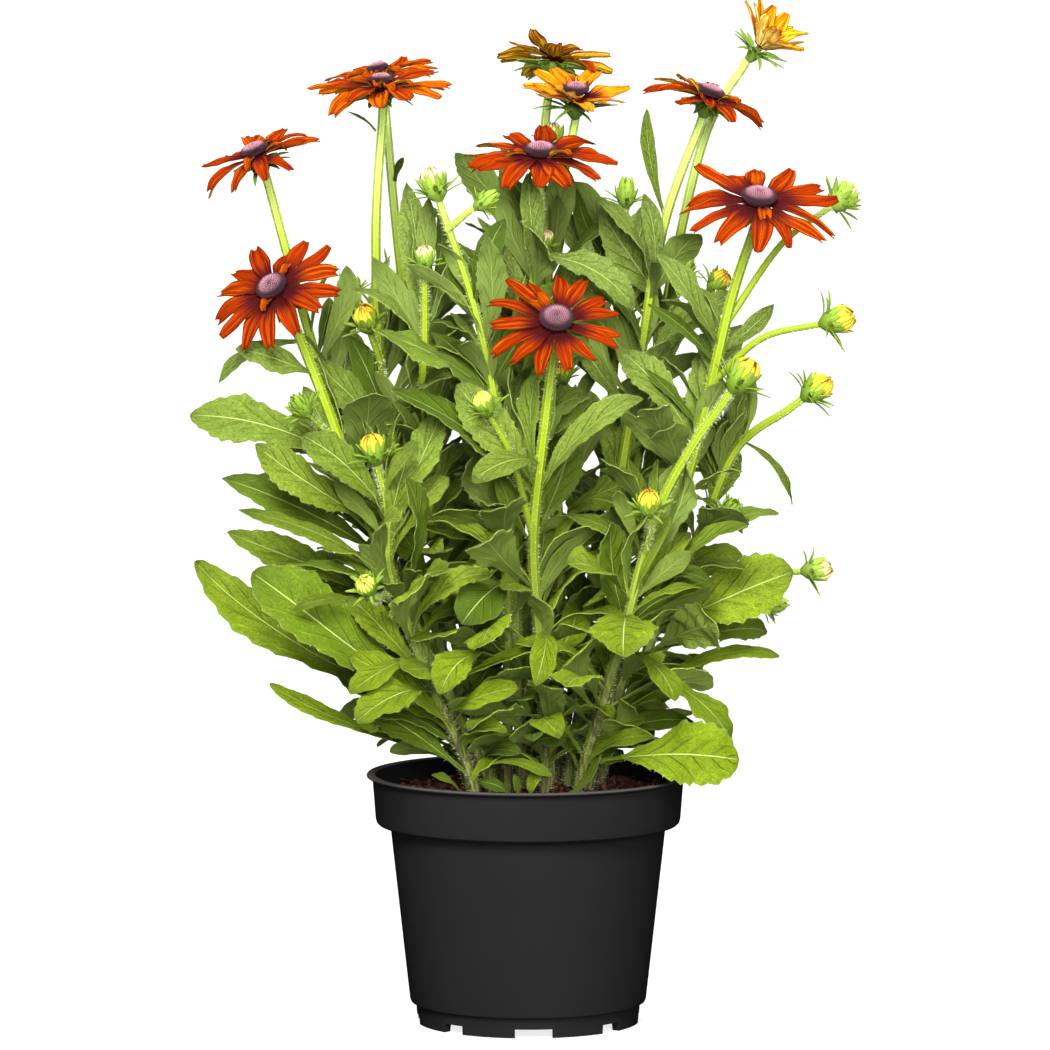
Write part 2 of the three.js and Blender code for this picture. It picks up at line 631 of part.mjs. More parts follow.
// A leaf's solid: an upper skin from edge to edge and an under skin that dips to the midrib,
// joined round the rim. Every other row is wider, as teeth. grow gives it room above and below,
// and three times as much at the sides.
function leafSolid(leaf, grow = 0) {
  const rows = leafRows(leaf);
  const last = rows.length - 1;
  const points = [];
  const corners = [];
  for (const upper of [true, false]) {
    const columns = upper && grow === 0 ? 1 : 2;
    const skin = new THREE.PlaneGeometry(2, 1, columns, last);
    const grid = skin.getAttribute("position");
    const first = points.length / 3;
    for (let i = 0; i < grid.count; i += 1) {
      const row = Math.floor(i / (columns + 1));
      const inner = row > 0 && row < last;
      const tooth = inner ? LEAF_TOOTH * (row % 2 ? 1 : -1) : 0;
      const width = (leaf.width + 3 * grow) * (1 + tooth);
      const v = Math.round(grid.getX(i));
      const { at, face } = bladePoint({ ...leaf, width, length: leaf.length + grow }, rows[row], v);
      const middle = v === 0 && inner;
      const offset = upper ? grow : -LEAF_THICKNESS / 2 - grow;
      points.push(...along(at, face, middle ? offset : 0));
    }
    const order = upper ? [0, 1, 2] : [0, 2, 1];
    const index = skin.index.array;
    for (let i = 0; i < index.length; i += 3) {
      corners.push(...order.map((corner) => first + index[i + corner]));
    }
  }
  const geometry = new THREE.BufferGeometry();
  geometry.setAttribute("position", new THREE.Float32BufferAttribute(points, 3));
  geometry.setIndex(corners);
  return solid(geometry);
}

// A leaf from its root to its tip, both fixed, with the arc between them turning by bend.
function leafBetween(root, tip, width, bend, facing, seed, blunt) {
  const form = LEAF_FORM;
  const height = (root.z - form.lowest) / (form.highest - form.lowest);
  const share = Math.min(1, Math.max(0, height));
  const chord = tip.clone().sub(root);
  const distance = chord.length();
  chord.normalize();
  const outward = facing.clone().addScaledVector(chord, -facing.dot(chord)).normalize();
  const half = bend / 2;
  const heading = chord.clone().multiplyScalar(Math.cos(half)).addScaledVector(outward, Math.sin(half));
  const up = outward.multiplyScalar(Math.cos(half)).addScaledVector(chord, -Math.sin(half));
  return {
    root,
    tip,
    heading,
    up,
    side: heading.clone().cross(up),
    length: (distance * half) / Math.sin(half),
    width,
    bend,
    outline: "leaf",
    stalk: form.stalk * (1 - share),
    blunt: blunt ?? mix(form.blunt[0], form.blunt[1], share) + form.vary * draw(seed, 9, 10),
    fold: 0.12 + 0.3 * draw(seed, 1, 2),
    twist: (draw(seed, 2, 3) - 0.5) * 0.7,
    sway: (draw(seed, 3, 4) - 0.5) * 0.12,
    wave: 0.1 + 0.16 * draw(seed, 4, 5),
    waves: 1.5 + draw(seed, 5, 6),
    phase: 6.28 * draw(seed, 6, 7),
  };
}

// The places of a leaf's rows: its root, and the rest shared out over the blade past its stalk.
function leafRows({ length, stalk }) {
  let shares = [0.33, 0.7, 1];
  if (length > 56) shares = [0.25, 0.5, 0.75, 1];
  if (length > 84) shares = [0.2, 0.42, 0.65, 0.86, 1];
  return [0, ...shares.map((share) => mix(stalk, 1, share))];
}

// The directions of a head: its axis and two directions across it.
function headFrame(axis) {
  const first = AXIS_HELPER.clone().addScaledVector(axis, -AXIS_HELPER.dot(axis)).normalize();
  return { axis, first, second: axis.clone().cross(first) };
}

// A narrow blade that leaves a head's axis at an angle round it, rising from the head's plane.
function radial(frame, centre, angle, options) {
  const outward = frame.first.clone().multiplyScalar(Math.cos(angle));
  outward.addScaledVector(frame.second, Math.sin(angle));
  const heading = outward.clone().multiplyScalar(Math.cos(options.rise));
  heading.addScaledVector(frame.axis, Math.sin(options.rise));
  const up = frame.axis.clone().multiplyScalar(Math.cos(options.rise));
  up.addScaledVector(outward, -Math.sin(options.rise));
  const root = along(along(centre, frame.axis, options.height), outward, options.start);
  return { sway: 0, waves: 1, phase: 0, ...options, root, heading, up, side: heading.clone().cross(up) };
}

// A profile of [radius, height] points turned about a head's axis. shape gives, for a ring and a
// step round it, how much wider and higher that point is.
function headTurned(frame, centre, profile, sides, shape) {
  const lathe = new THREE.LatheGeometry(profile.map(([r, h]) => new THREE.Vector2(r, h)), sides);
  const position = lathe.getAttribute("position");
  for (let i = 0; i < position.count; i += 1) {
    const ring = i % profile.length;
    const step = Math.floor(i / profile.length) % sides;
    const [wider, higher] = shape(ring, step);
    const [radius] = profile[ring];
    const scale = radius > 0 ? (radius + wider) / radius : 0;
    const point = along(centre, frame.axis, position.getY(i) + higher);
    point.addScaledVector(frame.second, position.getX(i) * scale);
    point.addScaledVector(frame.first, position.getZ(i) * scale);
    position.setXYZ(i, ...point);
  }
  return solid(lathe);
}

// Heights above a bloom's centre of the layers that it is built from.
const HEAD = { calyxFoot: -13, calyxRim: -5.4, calyxTop: -3.8, hubFoot: -2.4, hubTop: 1.4, discFoot: 2.3 };
const RAY_SHOULDER = 0.55;

// Ray number k of a bloom: they stand in two layers, the odd ones lower.
function ray(bloom, number, frame, centre, k) {
  const chance = (part) => draw(number + 1, k + 1, part) - 0.5;
  const start = bloom.disc * 0.6;
  const spacing = (2 * Math.PI) / bloom.rays;
  return radial(frame, centre, spacing * (k + 0.16 * chance(1)), {
    outline: "petal",
    height: k % 2 ? -1 : 0,
    start,
    rise: bloom.rise + 0.2 * chance(2) - (k % 2 ? 0.1 : 0),
    length: bloom.reach * (1 + 0.16 * chance(3)) - start,
    width: Math.min(13.6, bloom.reach * 0.34) * (1 + 0.2 * chance(4)),
    bend: bloom.curl + 0.4 * chance(5),
    twist: 0.5 * chance(6),
    sway: 0.06 * chance(8),
    fold: 0.22,
    wave: 0.1,
    phase: 6.28 * chance(9),
    notch: chance(7) > 0 ? 0.07 : -0.07,
  });
}

// A bloom's rays and the hub that they grow from, as one closed shell. Its two skins meet round
// each ray, and at one point of the hub between neighbours.
function bloomRays(bloom, number, frame, centre) {
  const spacing = (2 * Math.PI) / bloom.rays;
  const hub = (HEAD.hubTop + HEAD.hubFoot) / 2;
  const gapPoint = (k) => {
    const angle = spacing * (k + 0.5);
    const point = along(centre, frame.axis, hub);
    point.addScaledVector(frame.first, Math.cos(angle) * bloom.disc * 0.95);
    return point.addScaledVector(frame.second, Math.sin(angle) * bloom.disc * 0.95);
  };
  const points = [];
  const corners = [];
  const face = (a, b, c, top) => {
    const first = points.length / 3;
    points.push(...a, ...(top ? b : c), ...(top ? c : b));
    corners.push(first, first + 1, first + 2);
  };
  for (const top of [true, false]) {
    const middle = along(centre, frame.axis, top ? HEAD.hubTop : HEAD.hubFoot);
    for (let k = 0; k < bloom.rays; k += 1) {
      const petal = ray(bloom, number, frame, centre, k);
      const [left, right] = [gapPoint(k), gapPoint(k - 1)];
      const shoulder = [-1, 1].map((v) => bladePoint(petal, RAY_SHOULDER, v).at);
      const tip = [-1, 1].map((v) => bladePoint(petal, 1, v).at);
      const rib = bladePoint(petal, RAY_SHOULDER, 0);
      const ribPoint = along(rib.at, rib.face, ((top ? 1 : -1) * RAY_THICKNESS) / 2);
      const notch = bladePoint(petal, 1 - petal.notch, 0).at;
      face(middle, right, ribPoint, top);
      face(middle, ribPoint, left, top);
      face(left, ribPoint, shoulder[0], top);
      face(right, shoulder[1], ribPoint, top);
      face(shoulder[0], ribPoint, tip[0], top);
      face(ribPoint, notch, tip[0], top);
      face(ribPoint, shoulder[1], tip[1], top);
      face(ribPoint, tip[1], notch, top);
    }
  }
  const geometry = new THREE.BufferGeometry();
  geometry.setAttribute("position", new THREE.Float32BufferAttribute(points, 3));
  geometry.setIndex(corners);
  return solid(geometry);
}

// The disc: a dome whose florets stand up as rows of studs. Its foot is a cone where the rays
// under it rise steeply.
function bloomDisc(bloom, frame, centre) {
  const radius = bloom.dome ?? bloom.disc * 0.92;
  const height = bloom.disc * 0.56;
  const rim = Math.max(0, Math.tan(bloom.rise) - DISC.flatSlope) * 0.9 * radius;
  const shape = [[0, 0], [0.92, 0], [1, 0.3], [0.84, 0.66], [0.48, 0.93], [0, 1]];
  const profile = shape.map(([r, h], ring) => [r * radius, HEAD.discFoot + h * height + (ring ? rim : 0)]);
  const studded = (ring, step) => ring > 1 && ring < shape.length - 1 && (ring + step) % 2;
  const raise = (ring, step) => (studded(ring, step) ? [DISC.stud, DISC.stud * 0.8] : [0, 0]);
  return headTurned(frame, centre, profile, DISC.sides, raise);
}

// The green cup under a bloom, whose rim is drawn out in a ring of pointed bracts.
function bloomCalyx(bloom, number, frame, centre, neckRadius) {
  const rim = bloom.disc * 0.82;
  const profile = [
    [0, HEAD.calyxFoot],
    [neckRadius, HEAD.calyxFoot + 0.5],
    [rim, HEAD.calyxRim],
    [bloom.disc * 0.6, HEAD.calyxTop],
    [0, HEAD.calyxTop],
  ];
  const rise = Math.min(bloom.rise, 0.5) - 0.45;
  const drawOut = (ring, step) => {
    const length = CALYX.length + CALYX.vary * (draw(number + 40, step, 1) - 0.5);
    return ring === 2 && step % 2 ? [length * Math.cos(rise), length * Math.sin(rise)] : [0, 0];
  };
  return headTurned(frame, centre, profile, CALYX.bracts * 2, drawOut);
}

// A bud's green cup, its rim drawn out in bracts that stand round the furled rays.
// A green bud closes over at the top instead.
function budCup(bud, number, frame, centre, stalkRadius) {
  const r = bud.radius;
  const green = bud.tone === "green";
  const top = green ? [[0.9 * r, 0.2 * r], [0, 0.95 * r]] : [[0.7 * r, -0.3 * r], [0, -0.3 * r]];
  const profile = [[0, -1.5 * r], [stalkRadius, -1.45 * r], [0.8 * r, -0.62 * r], ...top];
  const drawOut = (ring, step) => {
    const length = (1.5 + 0.6 * (draw(number + 80, step, 1) - 0.5)) * r;
    const rise = green ? 0.85 : 0.6;
    return ring === 2 && step % 2 ? [length * Math.cos(rise), length * Math.sin(rise)] : [0, 0];
  };
  return headTurned(frame, centre, profile, BUD_BRACTS * 2, drawOut);
}

// The furled rays of a bud: a crown with a ridge for each ray.
function budRays(bud, frame, centre) {
  const r = bud.radius;
  const foot = -0.3 * r + 0.35;
  const shape = [[0, 0], [0.7, 0], [0.95, 0.6], [0.66, 1.35], [0, 1.1]];
  const profile = shape.map(([x, h]) => [x * r, foot + h * r]);
  const furl = (ring, step) => {
    if (ring === 0 || ring === 4 || step % 2 === 0) return [0, 0];
    return [-0.14 * r, ring === 3 ? -0.22 * r : 0];
  };
  return headTurned(frame, centre, profile, BUD_RIDGES * 2, furl);
}

// A stem's axis: under the soil, through its points, and straight into the head that it carries.
function stemCurve(stem, head, footHeight) {
  const points = stem.path.map(vector);
  const [first] = points;
  const rootPoint = new THREE.Vector3(first.x * ROOT.draw, first.y * ROOT.draw, footHeight);
  const end = points.pop();
  const axis = headAxis(stem, head);
  return curveThrough([rootPoint, ...points, along(end, axis, -head.neck), along(end, axis, -head.seat)]);
}

// A head with no axis of its own faces the way that its stalk arrives.
function headAxis(carrier, head) {
  if (head.axis) return vector(head.axis).normalize();
  const [before, last] = carrier.path.slice(-2).map(vector);
  return last.sub(before).normalize();
}

// The point of a stem's axis at a height, found by halving.
function stemAt(curve, height) {
  let low = 0;
  let high = 1;
  for (let i = 0; i < 30; i += 1) {
    const middle = (low + high) / 2;
    if (curve.getPoint(middle).z < height) low = middle;
    else high = middle;
  }
  return curve.getPoint(low);
}

function envelopeAt(height) {
  const after = Math.max(1, ENVELOPE.findIndex(([z]) => z > height));
  const [[z0, w0], [z1, w1]] = [ENVELOPE[after - 1], ENVELOPE[after]];
  return mix(w0, w1, (height - z0) / (z1 - z0));
}

function insideEnvelope(point) {
  const reach = envelopeAt(point.z) * (point.x > 0 ? ENVELOPE_RIGHT : 1);
  return Math.hypot(point.x / reach, point.y / (reach * ENVELOPE_DEPTH)) < 1;
}

// Try j of a hand-set leaf moves its tip to and fro in depth, by a little more each time.
function keyLeaf(curve, row, number, j) {
  const tip = vector(row.tip);
  tip.y += (j % 2 ? -1 : 1) * Math.ceil(j / 2) * KEY_NUDGE;
  const root = stemAt(curve, row.from);
  return leafBetween(root, tip, row.width, row.bend, vector(row.face), number + 300, row.blunt);
}

// Try j of the leaf in slot i of a stem swings it further round the stem and shortens it.
function ruleLeaf(curve, stem, number, i, j) {
  const rule = LEAF_RULE;
  const chance = (part) => draw(number + 1, i + 1, part) - 0.5;
  const height = mix(stem.leafy[0], stem.leafy[1], (i + 0.5 + 0.5 * chance(1)) / stem.leaves);
  const root = stemAt(curve, height);
  const share = Math.min(1, Math.max(0, (height - rule.lowest) / (rule.highest - rule.lowest)));
  const swing = (j % 2 ? 1 : -1) * Math.ceil(j / 2) * rule.swing;
  const azimuth = rule.turn * i + 1.7 * number + swing;
  const outward = new THREE.Vector3(Math.cos(azimuth), Math.sin(azimuth), 0);
  const away = new THREE.Vector3(root.x, root.y, 0).normalize().dot(outward);
  const size = (1 + 0.4 * chance(2)) * rule.shorten ** j * (1 - (rule.inward * (1 - away)) / 2);
  const reach = mix(rule.reach[0], rule.reach[1], share) * size;
  const lift = mix(rule.lift[0], rule.lift[1], share) + 0.5 * chance(3) - 0.25 * away;
  const tip = along(root, outward, reach * Math.cos(lift)).addScaledVector(UP, reach * Math.sin(lift));
  const width = reach * mix(rule.slimness[0], rule.slimness[1], share) * (1 + 0.4 * chance(4));
  const bend = mix(rule.bend[0], rule.bend[1], share) * (1 + 1.1 * chance(5));
  const aside = 2 * Math.PI * draw(number + 1, i + 1, 6);
  const facing = along(root, outward, reach / 2).setZ(0).setLength(rule.outface).add(UP);
  facing.x += rule.roll * Math.cos(aside);
  facing.y += rule.roll * Math.sin(aside);
  return leafBetween(root, tip, width, bend, facing, number * 20 + i);
}

// What stands so far, for the leaves to keep clear of.
const standing = [];

function stand(node, shape, leaf = false) {
  standing.push({ node, shape, leaf, box: shape.boundingBox() });
}

const boxesMeet = (a, b) => [0, 1, 2].every((k) => a.min[k] <= b.max[k] && b.min[k] <= a.max[k]);

function isClear(node, shape) {
  const box = shape.boundingBox();
  const near = standing.filter((item) => (item.node !== node || item.leaf) && boxesMeet(item.box, box));
  return near.every((item) => shape.intersect(item.shape).isEmpty());
}

// The first of a leaf's tries that is clear of everything else, or nothing.
function growLeaf(node, tries, attempt, allowed) {
  for (let j = 0; j < tries; j += 1) {
    const leaf = attempt(j);
    if (allowed(leaf.tip) && isClear(node, leafSolid(leaf, CLEARANCE))) {
      const shape = leafSolid(leaf);
      stand(node, shape, true);
      return [shape];
    }
  }
  return [];
}

// The plant's heads, stems and leaves are built in that order, so that leaves fit round the rest.
const coneflower = new THREE.Group();
const container = new THREE.Group();
const plant = new THREE.Group();
coneflower.add(container, plant);

const potSolid = pot();
stand("pot", potSolid);

const nodes = [];
const stems = STEMS.map((stem, number) => {
  const bloom = BLOOMS.find((row) => row.stem === stem.name);
  const bud = BUDS.find((row) => row.stem === stem.name && !row.path);
  const head = bloom
    ? { axis: bloom.axis, neck: 17, seat: 8 }
    : { axis: null, neck: bud.radius * 2.6, seat: bud.radius * 1.1 };
  return { ...stem, number, bloom, head, curve: stemCurve(stem, head, ROOT.height), pieces: [] };
});
const stemNamed = (name) => stems.find((stem) => stem.name === name);

for (const stem of stems) {
  stem.pieces.push(rod(stem.curve, stem.radii, STEM.sides, STEM.rows));
}

BLOOMS.forEach((bloom, number) => {
  const stem = stemNamed(bloom.stem);
  const centre = vector(stem.path.at(-1));
  const frame = headFrame(headAxis(stem, bloom));
  stem.pieces.push(bloomCalyx(bloom, number, frame, centre, stem.radii[1]));
  const rays = bloomRays(bloom, number, frame, centre);
  const disc = bloomDisc(bloom, frame, centre);
  nodes.push([`${bloom.name}_rays`, rays, RAY_TONES[bloom.name] ?? "orange"]);
  nodes.push([`${bloom.name}_disc`, disc, "disc"]);
});

BUDS.forEach((bud, number) => {
  const stem = stemNamed(bud.stem);
  const carrier = bud.path ? bud : stem;
  const centre = vector(carrier.path.at(-1));
  const axis = headAxis(carrier, bud);
  const frame = headFrame(axis);
  const stalk = bud.path ? BRANCH.radii[1] : stem.radii[1];
  if (bud.path) {
    const points = [...bud.path.slice(0, -1).map(vector), along(centre, axis, -1.2 * bud.radius)];
    stem.pieces.push(rod(curveThrough(points), BRANCH.radii, BRANCH.sides, BRANCH.rows));
  }
  stem.pieces.push(budCup(bud, number, frame, centre, stalk));
  if (bud.tone !== "green") nodes.push([`${bud.name}_rays`, budRays(bud, frame, centre), bud.tone]);
});

for (const [name, shape] of nodes) stand(name, shape);
for (const stem of stems) stem.pieces.forEach((piece) => stand(stem.name, piece));

const holes = stems.map((stem) => {
  const deeper = stemCurve(stem, stem.head, ROOT.height - ROOT.hole);
  const wider = stem.radii.map((radius) => radius + ROOT.hole);
  return rod(deeper, wider, STEM.sides, STEM.rows);
});
const soilSolid = soil(holes);
stand("soil", soilSolid);

KEY_LEAVES.forEach((row, number) => {
  const stem = stemNamed(row.stem);
  stem.pieces.push(...growLeaf(stem.name, KEY_TRIES, (j) => keyLeaf(stem.curve, row, number, j), () => true));
});
for (const stem of stems) {
  for (let i = 0; i < stem.leaves; i += 1) {
    const attempt = (j) => ruleLeaf(stem.curve, stem, stem.number, i, j);
    stem.pieces.push(...growLeaf(stem.name, LEAF_RULE.tries, attempt, insideEnvelope));
  }
}

container.add(meshOf("pot", potSolid, "pot"), meshOf("soil", soilSolid, "soil"));
for (const stem of stems) plant.add(meshOf(stem.name, fuse(stem.pieces), "green"));
for (const [name, shape, tone] of nodes) plant.add(meshOf(name, shape, tone));

export default coneflower;
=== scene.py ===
"""A potted orange coneflower, dressed round its frame.

The layout of the plant is kept in millimetres and repeats the part's own: stems as paths, heads
with the way that they face, and leaves. Everything that is made from it is in metres.
"""

import math

import bmesh
import bpy
import numpy as np
from bpy.props import FloatProperty, FloatVectorProperty, IntProperty, PointerProperty
from mathutils import Matrix, Vector
from mathutils.bvhtree import BVHTree
from mathutils.kdtree import KDTree


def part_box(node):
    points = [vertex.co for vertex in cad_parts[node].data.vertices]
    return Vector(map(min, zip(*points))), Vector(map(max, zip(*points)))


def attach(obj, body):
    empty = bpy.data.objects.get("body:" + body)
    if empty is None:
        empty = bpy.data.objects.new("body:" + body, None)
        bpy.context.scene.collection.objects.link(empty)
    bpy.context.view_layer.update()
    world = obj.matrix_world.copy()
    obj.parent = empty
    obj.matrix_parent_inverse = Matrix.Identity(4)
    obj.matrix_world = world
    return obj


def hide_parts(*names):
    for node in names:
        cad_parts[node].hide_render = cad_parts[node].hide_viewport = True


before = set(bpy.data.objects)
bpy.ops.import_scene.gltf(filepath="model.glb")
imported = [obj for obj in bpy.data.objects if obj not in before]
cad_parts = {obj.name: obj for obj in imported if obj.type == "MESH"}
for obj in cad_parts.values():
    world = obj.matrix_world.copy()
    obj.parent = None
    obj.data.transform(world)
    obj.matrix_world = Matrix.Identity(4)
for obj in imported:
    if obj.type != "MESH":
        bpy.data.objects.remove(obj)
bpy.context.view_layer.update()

bl_info = {
    "name": "Potted Coneflower",
    "version": (1, 0, 0),
    "blender": (4, 5, 0),
    "location": "View3D > Sidebar > Coneflower",
    "description": "Dresses a potted coneflower with its leaves, blooms, buds, peat and pot",
    "category": "Object",
}

MM = 0.001
BODY = "root"

# Stems: the axis from the soil to the centre of the head, the radii at the foot and under the
# head, and the heights between which leaves grow by rule, with how many grow.
STEMS = {
    "stem_01": ([(10, -30, 149), (7, -50, 225), (3, -66, 291), (10, -85, 362), (16, -95, 418)],
                (3.4, 2.6), (168, 345), 5),
    "stem_02": ([(-4, -14, 149), (-7, -20, 251), (-5, -22, 351), (5, -20, 450), (7, -18, 510)],
                (3.4, 2.5), (160, 455), 8),
    "stem_03": ([(14, 10, 147), (19, 22, 247), (16, 28, 335), (12, 32, 441), (28, 30, 542)],
                (3.3, 2.2), (170, 460), 7),
    "stem_04": ([(1, 28, 148), (-5, 48, 244), (-2, 62, 351), (6, 68, 481), (15, 70, 565)],
                (3.3, 2.2), (160, 470), 8),
    "stem_05": ([(-31, -3, 149), (-58, 8, 248), (-84, 10, 366), (-89, 6, 460), (-85.5, 0, 550)],
                (3.3, 2.4), (160, 405), 7),
    "stem_06": ([(-17, 20, 148), (-39, 38, 234), (-62, 54, 334), (-77, 68, 452), (-88.5, 77, 555)],
                (3.2, 2.3), (160, 410), 8),
    "stem_07": ([(-37, -17, 150), (-72, -16, 251), (-107, -16, 339), (-133, -12, 426), (-158, -8, 510)],
                (3.3, 2.3), (165, 420), 6),
    "stem_08": ([(-24, -32, 150), (-57, -42, 218), (-90, -46, 295), (-121, -50, 379), (-146, -55, 434)],
                (3.5, 2.6), (170, 350), 4),
    "stem_09": ([(24, 1, 147), (42, 8, 248), (62, 14, 366), (79, 20, 465), (106, 22, 543)],
                (3.3, 2.4), (165, 440), 6),
    "stem_10": ([(29, 24, 147), (53, 38, 257), (73, 46, 375), (102, 56, 511), (138, 60, 573)],
                (3.3, 2.3), (160, 440), 8),
    "stem_11": ([(37, -18, 149), (71, -36, 253), (98, -50, 347), (117, -58, 429), (132, -64, 485)],
                (3.5, 2.6), (170, 430), 6),
    "stem_12": ([(31, -40, 150), (54, -60, 232), (73, -70, 303), (93, -78, 344), (124, -86, 389)],
                (3.3, 2.2), (185, 330), 3),
    "stem_13": ([(-32, -48, 150), (-57, -60, 208), (-79, -68, 268), (-81, -72, 309), (-89, -80, 346)],
                (3.2, 2.1), (175, 320), 4),
    "stem_14": ([(44, 10, 147), (75, 6, 231), (101, -6, 291), (122, -16, 340), (169, -30, 377)],
                (3.2, 2.0), (165, 345), 5),
    "stem_15": ([(18, 40, 146), (36, 56, 244), (48, 58, 346), (54, 46, 429), (58, 38, 487)],
                (3.1, 1.9), (160, 460), 8),
    "stem_16": ([(-12, -28, 149), (-12, -42, 253), (-16, -50, 347), (-29, -50, 417), (-55, -46, 497)],
                (3.2, 1.9), (165, 450), 6),
    "stem_17": ([(-20, 3, 147), (-46, -12, 239), (-61, -22, 334), (-60, -28, 404), (-60, -34, 453)],
                (3.1, 1.9), (165, 430), 6),
}
ROOT_HEIGHT = 114
ROOT_DRAW = 0.86
BRANCH_RADII = (2.2, 1.8)

# Blooms: stem, axis, reach of the rays, how many, disc radius, first slope and curl of the rays.
BLOOMS = {
    "bloom_01": ("stem_07", (-0.36, -0.24, 0.9), 36, 12, 9, 0.16, 0.45),
    "bloom_02": ("stem_08", (-0.42, -0.6, 0.68), 40, 14, 10, 0.18, 0.42),
    "bloom_03": ("stem_05", (-0.04, -0.16, 0.98), 40, 14, 9.5, 0.1, 0.25),
    "bloom_04": ("stem_06", (-0.2, -0.1, 0.97), 34, 12, 9, 0.14, 0.22),
    "bloom_05": ("stem_04", (0.14, 0.3, 0.94), 36, 14, 9.5, 0.12, 0.3),
    "bloom_06": ("stem_03", (0.05, -0.3, 0.95), 32, 13, 9, 0.45, 0.35),
    "bloom_07": ("stem_02", (0.02, -0.3, 0.95), 43, 14, 10, 0.08, 0.38),
    "bloom_08": ("stem_01", (0.04, -0.7, 0.71), 40, 15, 10.5, 0.14, 0.3),
    "bloom_09": ("stem_09", (0.3, -0.18, 0.93), 38, 12, 9, 0.12, 0.28),
    "bloom_10": ("stem_11", (0.1, -0.44, 0.89), 48, 14, 11, 0.12, 0.35),
    "bloom_11": ("stem_10", (0.62, -0.2, 0.76), 27, 12, 6.5, 0.95, 0.15),
}
AMBER_BLOOMS = ("bloom_06", "bloom_11")
# How far a bloom's rays are from red towards orange.
WARMTH = {"bloom_01": 0.35, "bloom_02": 0.35, "bloom_03": 0.85, "bloom_04": 0.85, "bloom_05": 0.75,
          "bloom_07": 0.25, "bloom_08": 0.35, "bloom_10": 0.3, "bloom_11": 1}
PLAIN_WARMTH = 0.5
# How much longer and wider a bloom's rays are than the frame's.
RAY_GROWTH = {"bloom_01": (1, 0.76), "bloom_02": (1, 0.84), "bloom_03": (1.02, 0.95),
              "bloom_04": (1.02, 0.95), "bloom_05": (1, 0.86), "bloom_06": (1, 1.1),
              "bloom_08": (1, 0.7), "bloom_09": (1, 0.8), "bloom_10": (1, 0.92),
              "bloom_11": (1.08, 1.2)}
PLAIN_GROWTH = (1, 1)
# How many small rays curl up round a bloom's dome.
CURLED_RAYS = {"bloom_01": 5, "bloom_03": 8, "bloom_04": 7, "bloom_06": 4}
PLAIN_CURLED = 2
# Length and width of a bloom's bracts, and their tint.
BRACTS = {"bloom_05": (15.5, 6, 0.3), "bloom_06": (16, 3.6, 0.2), "bloom_11": (14, 5, 0.6)}
PLAIN_BRACTS = (11, 5, 0.15)
# How mauve a dome's florets are, from its middle out to its dark ring.
MAUVE_SHARES = (0, 0.1, 0.2, 0.36, 0.5, 0.6, 0.7, 1)
MAUVE_TINTS = (0.5, 0.8, 1, 0.95, 0.6, 0.15, 0.02, 0)
NARROW_DOMES = {"bloom_03": 6.6, "bloom_04": 6.2, "bloom_06": 7.4, "bloom_11": 2.6}

# Buds: stem, path or nothing where it sits on the stem's end, radius, colour.
BUDS = {
    "bud_01": ("stem_01", [(3, -66, 291), (-9, -84, 339), (-26, -98, 373)], 7, "lime"),
    "bud_02": ("stem_03", [(16, 28, 335), (25, 10, 360), (20, -4, 384)], 6, "yellow"),
    "bud_03": ("stem_03", [(12, 31, 441), (15, 42, 486), (15, 50, 521)], 7, "cream"),
    "bud_04": ("stem_03", [(13, 31, 410), (7, 18, 436), (10, 10, 461)], 5.5, "cream"),
    "bud_05": ("stem_05", [(-84, 10, 366), (-86, -8, 388), (-95, -22, 417)], 8, "yellow"),
    "bud_06": ("stem_05", [(-87, 8, 412), (-98, 12, 422), (-104, 10, 434)], 6.5, "green"),
    "bud_07": ("stem_08", [(-110, -48, 347), (-121, -62, 357), (-131, -74, 369)], 7, "green"),
    "bud_08": ("stem_10", [(77, 48, 399), (87, 44, 423), (93, 40, 443)], 6, "green"),
    "bud_09": ("stem_09", [(64, 15, 377), (84, 2, 410), (112, -12, 438)], 7, "yellow"),
    "bud_10": ("stem_11", [(114, -57, 415), (146, -46, 460), (184, -18, 487)], 9, "cream"),
    "bud_11": ("stem_11", [(106, -54, 380), (134, -66, 407), (179, -78, 419)], 9, "yellow"),
    "bud_12": ("stem_12", None, 10, "yellow"),
    "bud_13": ("stem_12", [(67, -67, 282), (70, -80, 298), (69, -88, 315)], 7.5, "yellow"),
    "bud_14": ("stem_13", None, 8, "yellow"),
    "bud_15": ("stem_13", [(-77, -67, 262), (-87, -84, 258), (-93, -97, 268)], 7, "lime"),
    "bud_16": ("stem_14", None, 9, "yellow"),
    "bud_17": ("stem_14", [(75, 6, 231), (118, 0, 261), (171, -6, 268)], 8, "cream"),
    "bud_18": ("stem_14", [(101, -6, 291), (111, -22, 296), (118, -34, 306)], 6.5, "green"),
    "bud_19": ("stem_14", [(64, 7, 206), (108, 20, 240), (146, 30, 243)], 6.5, "green"),
    "bud_20": ("stem_15", None, 7, "green"),
    "bud_21": ("stem_16", None, 9, "cream"),
    "bud_22": ("stem_16", [(-47, -48, 468), (-36, -52, 478), (-24, -54, 486)], 6, "green"),
    "bud_23": ("stem_16", [(-12, -41, 246), (-22, -54, 256), (-28, -60, 270)], 5.5, "green"),
    "bud_24": ("stem_17", None, 6.5, "cream"),
}

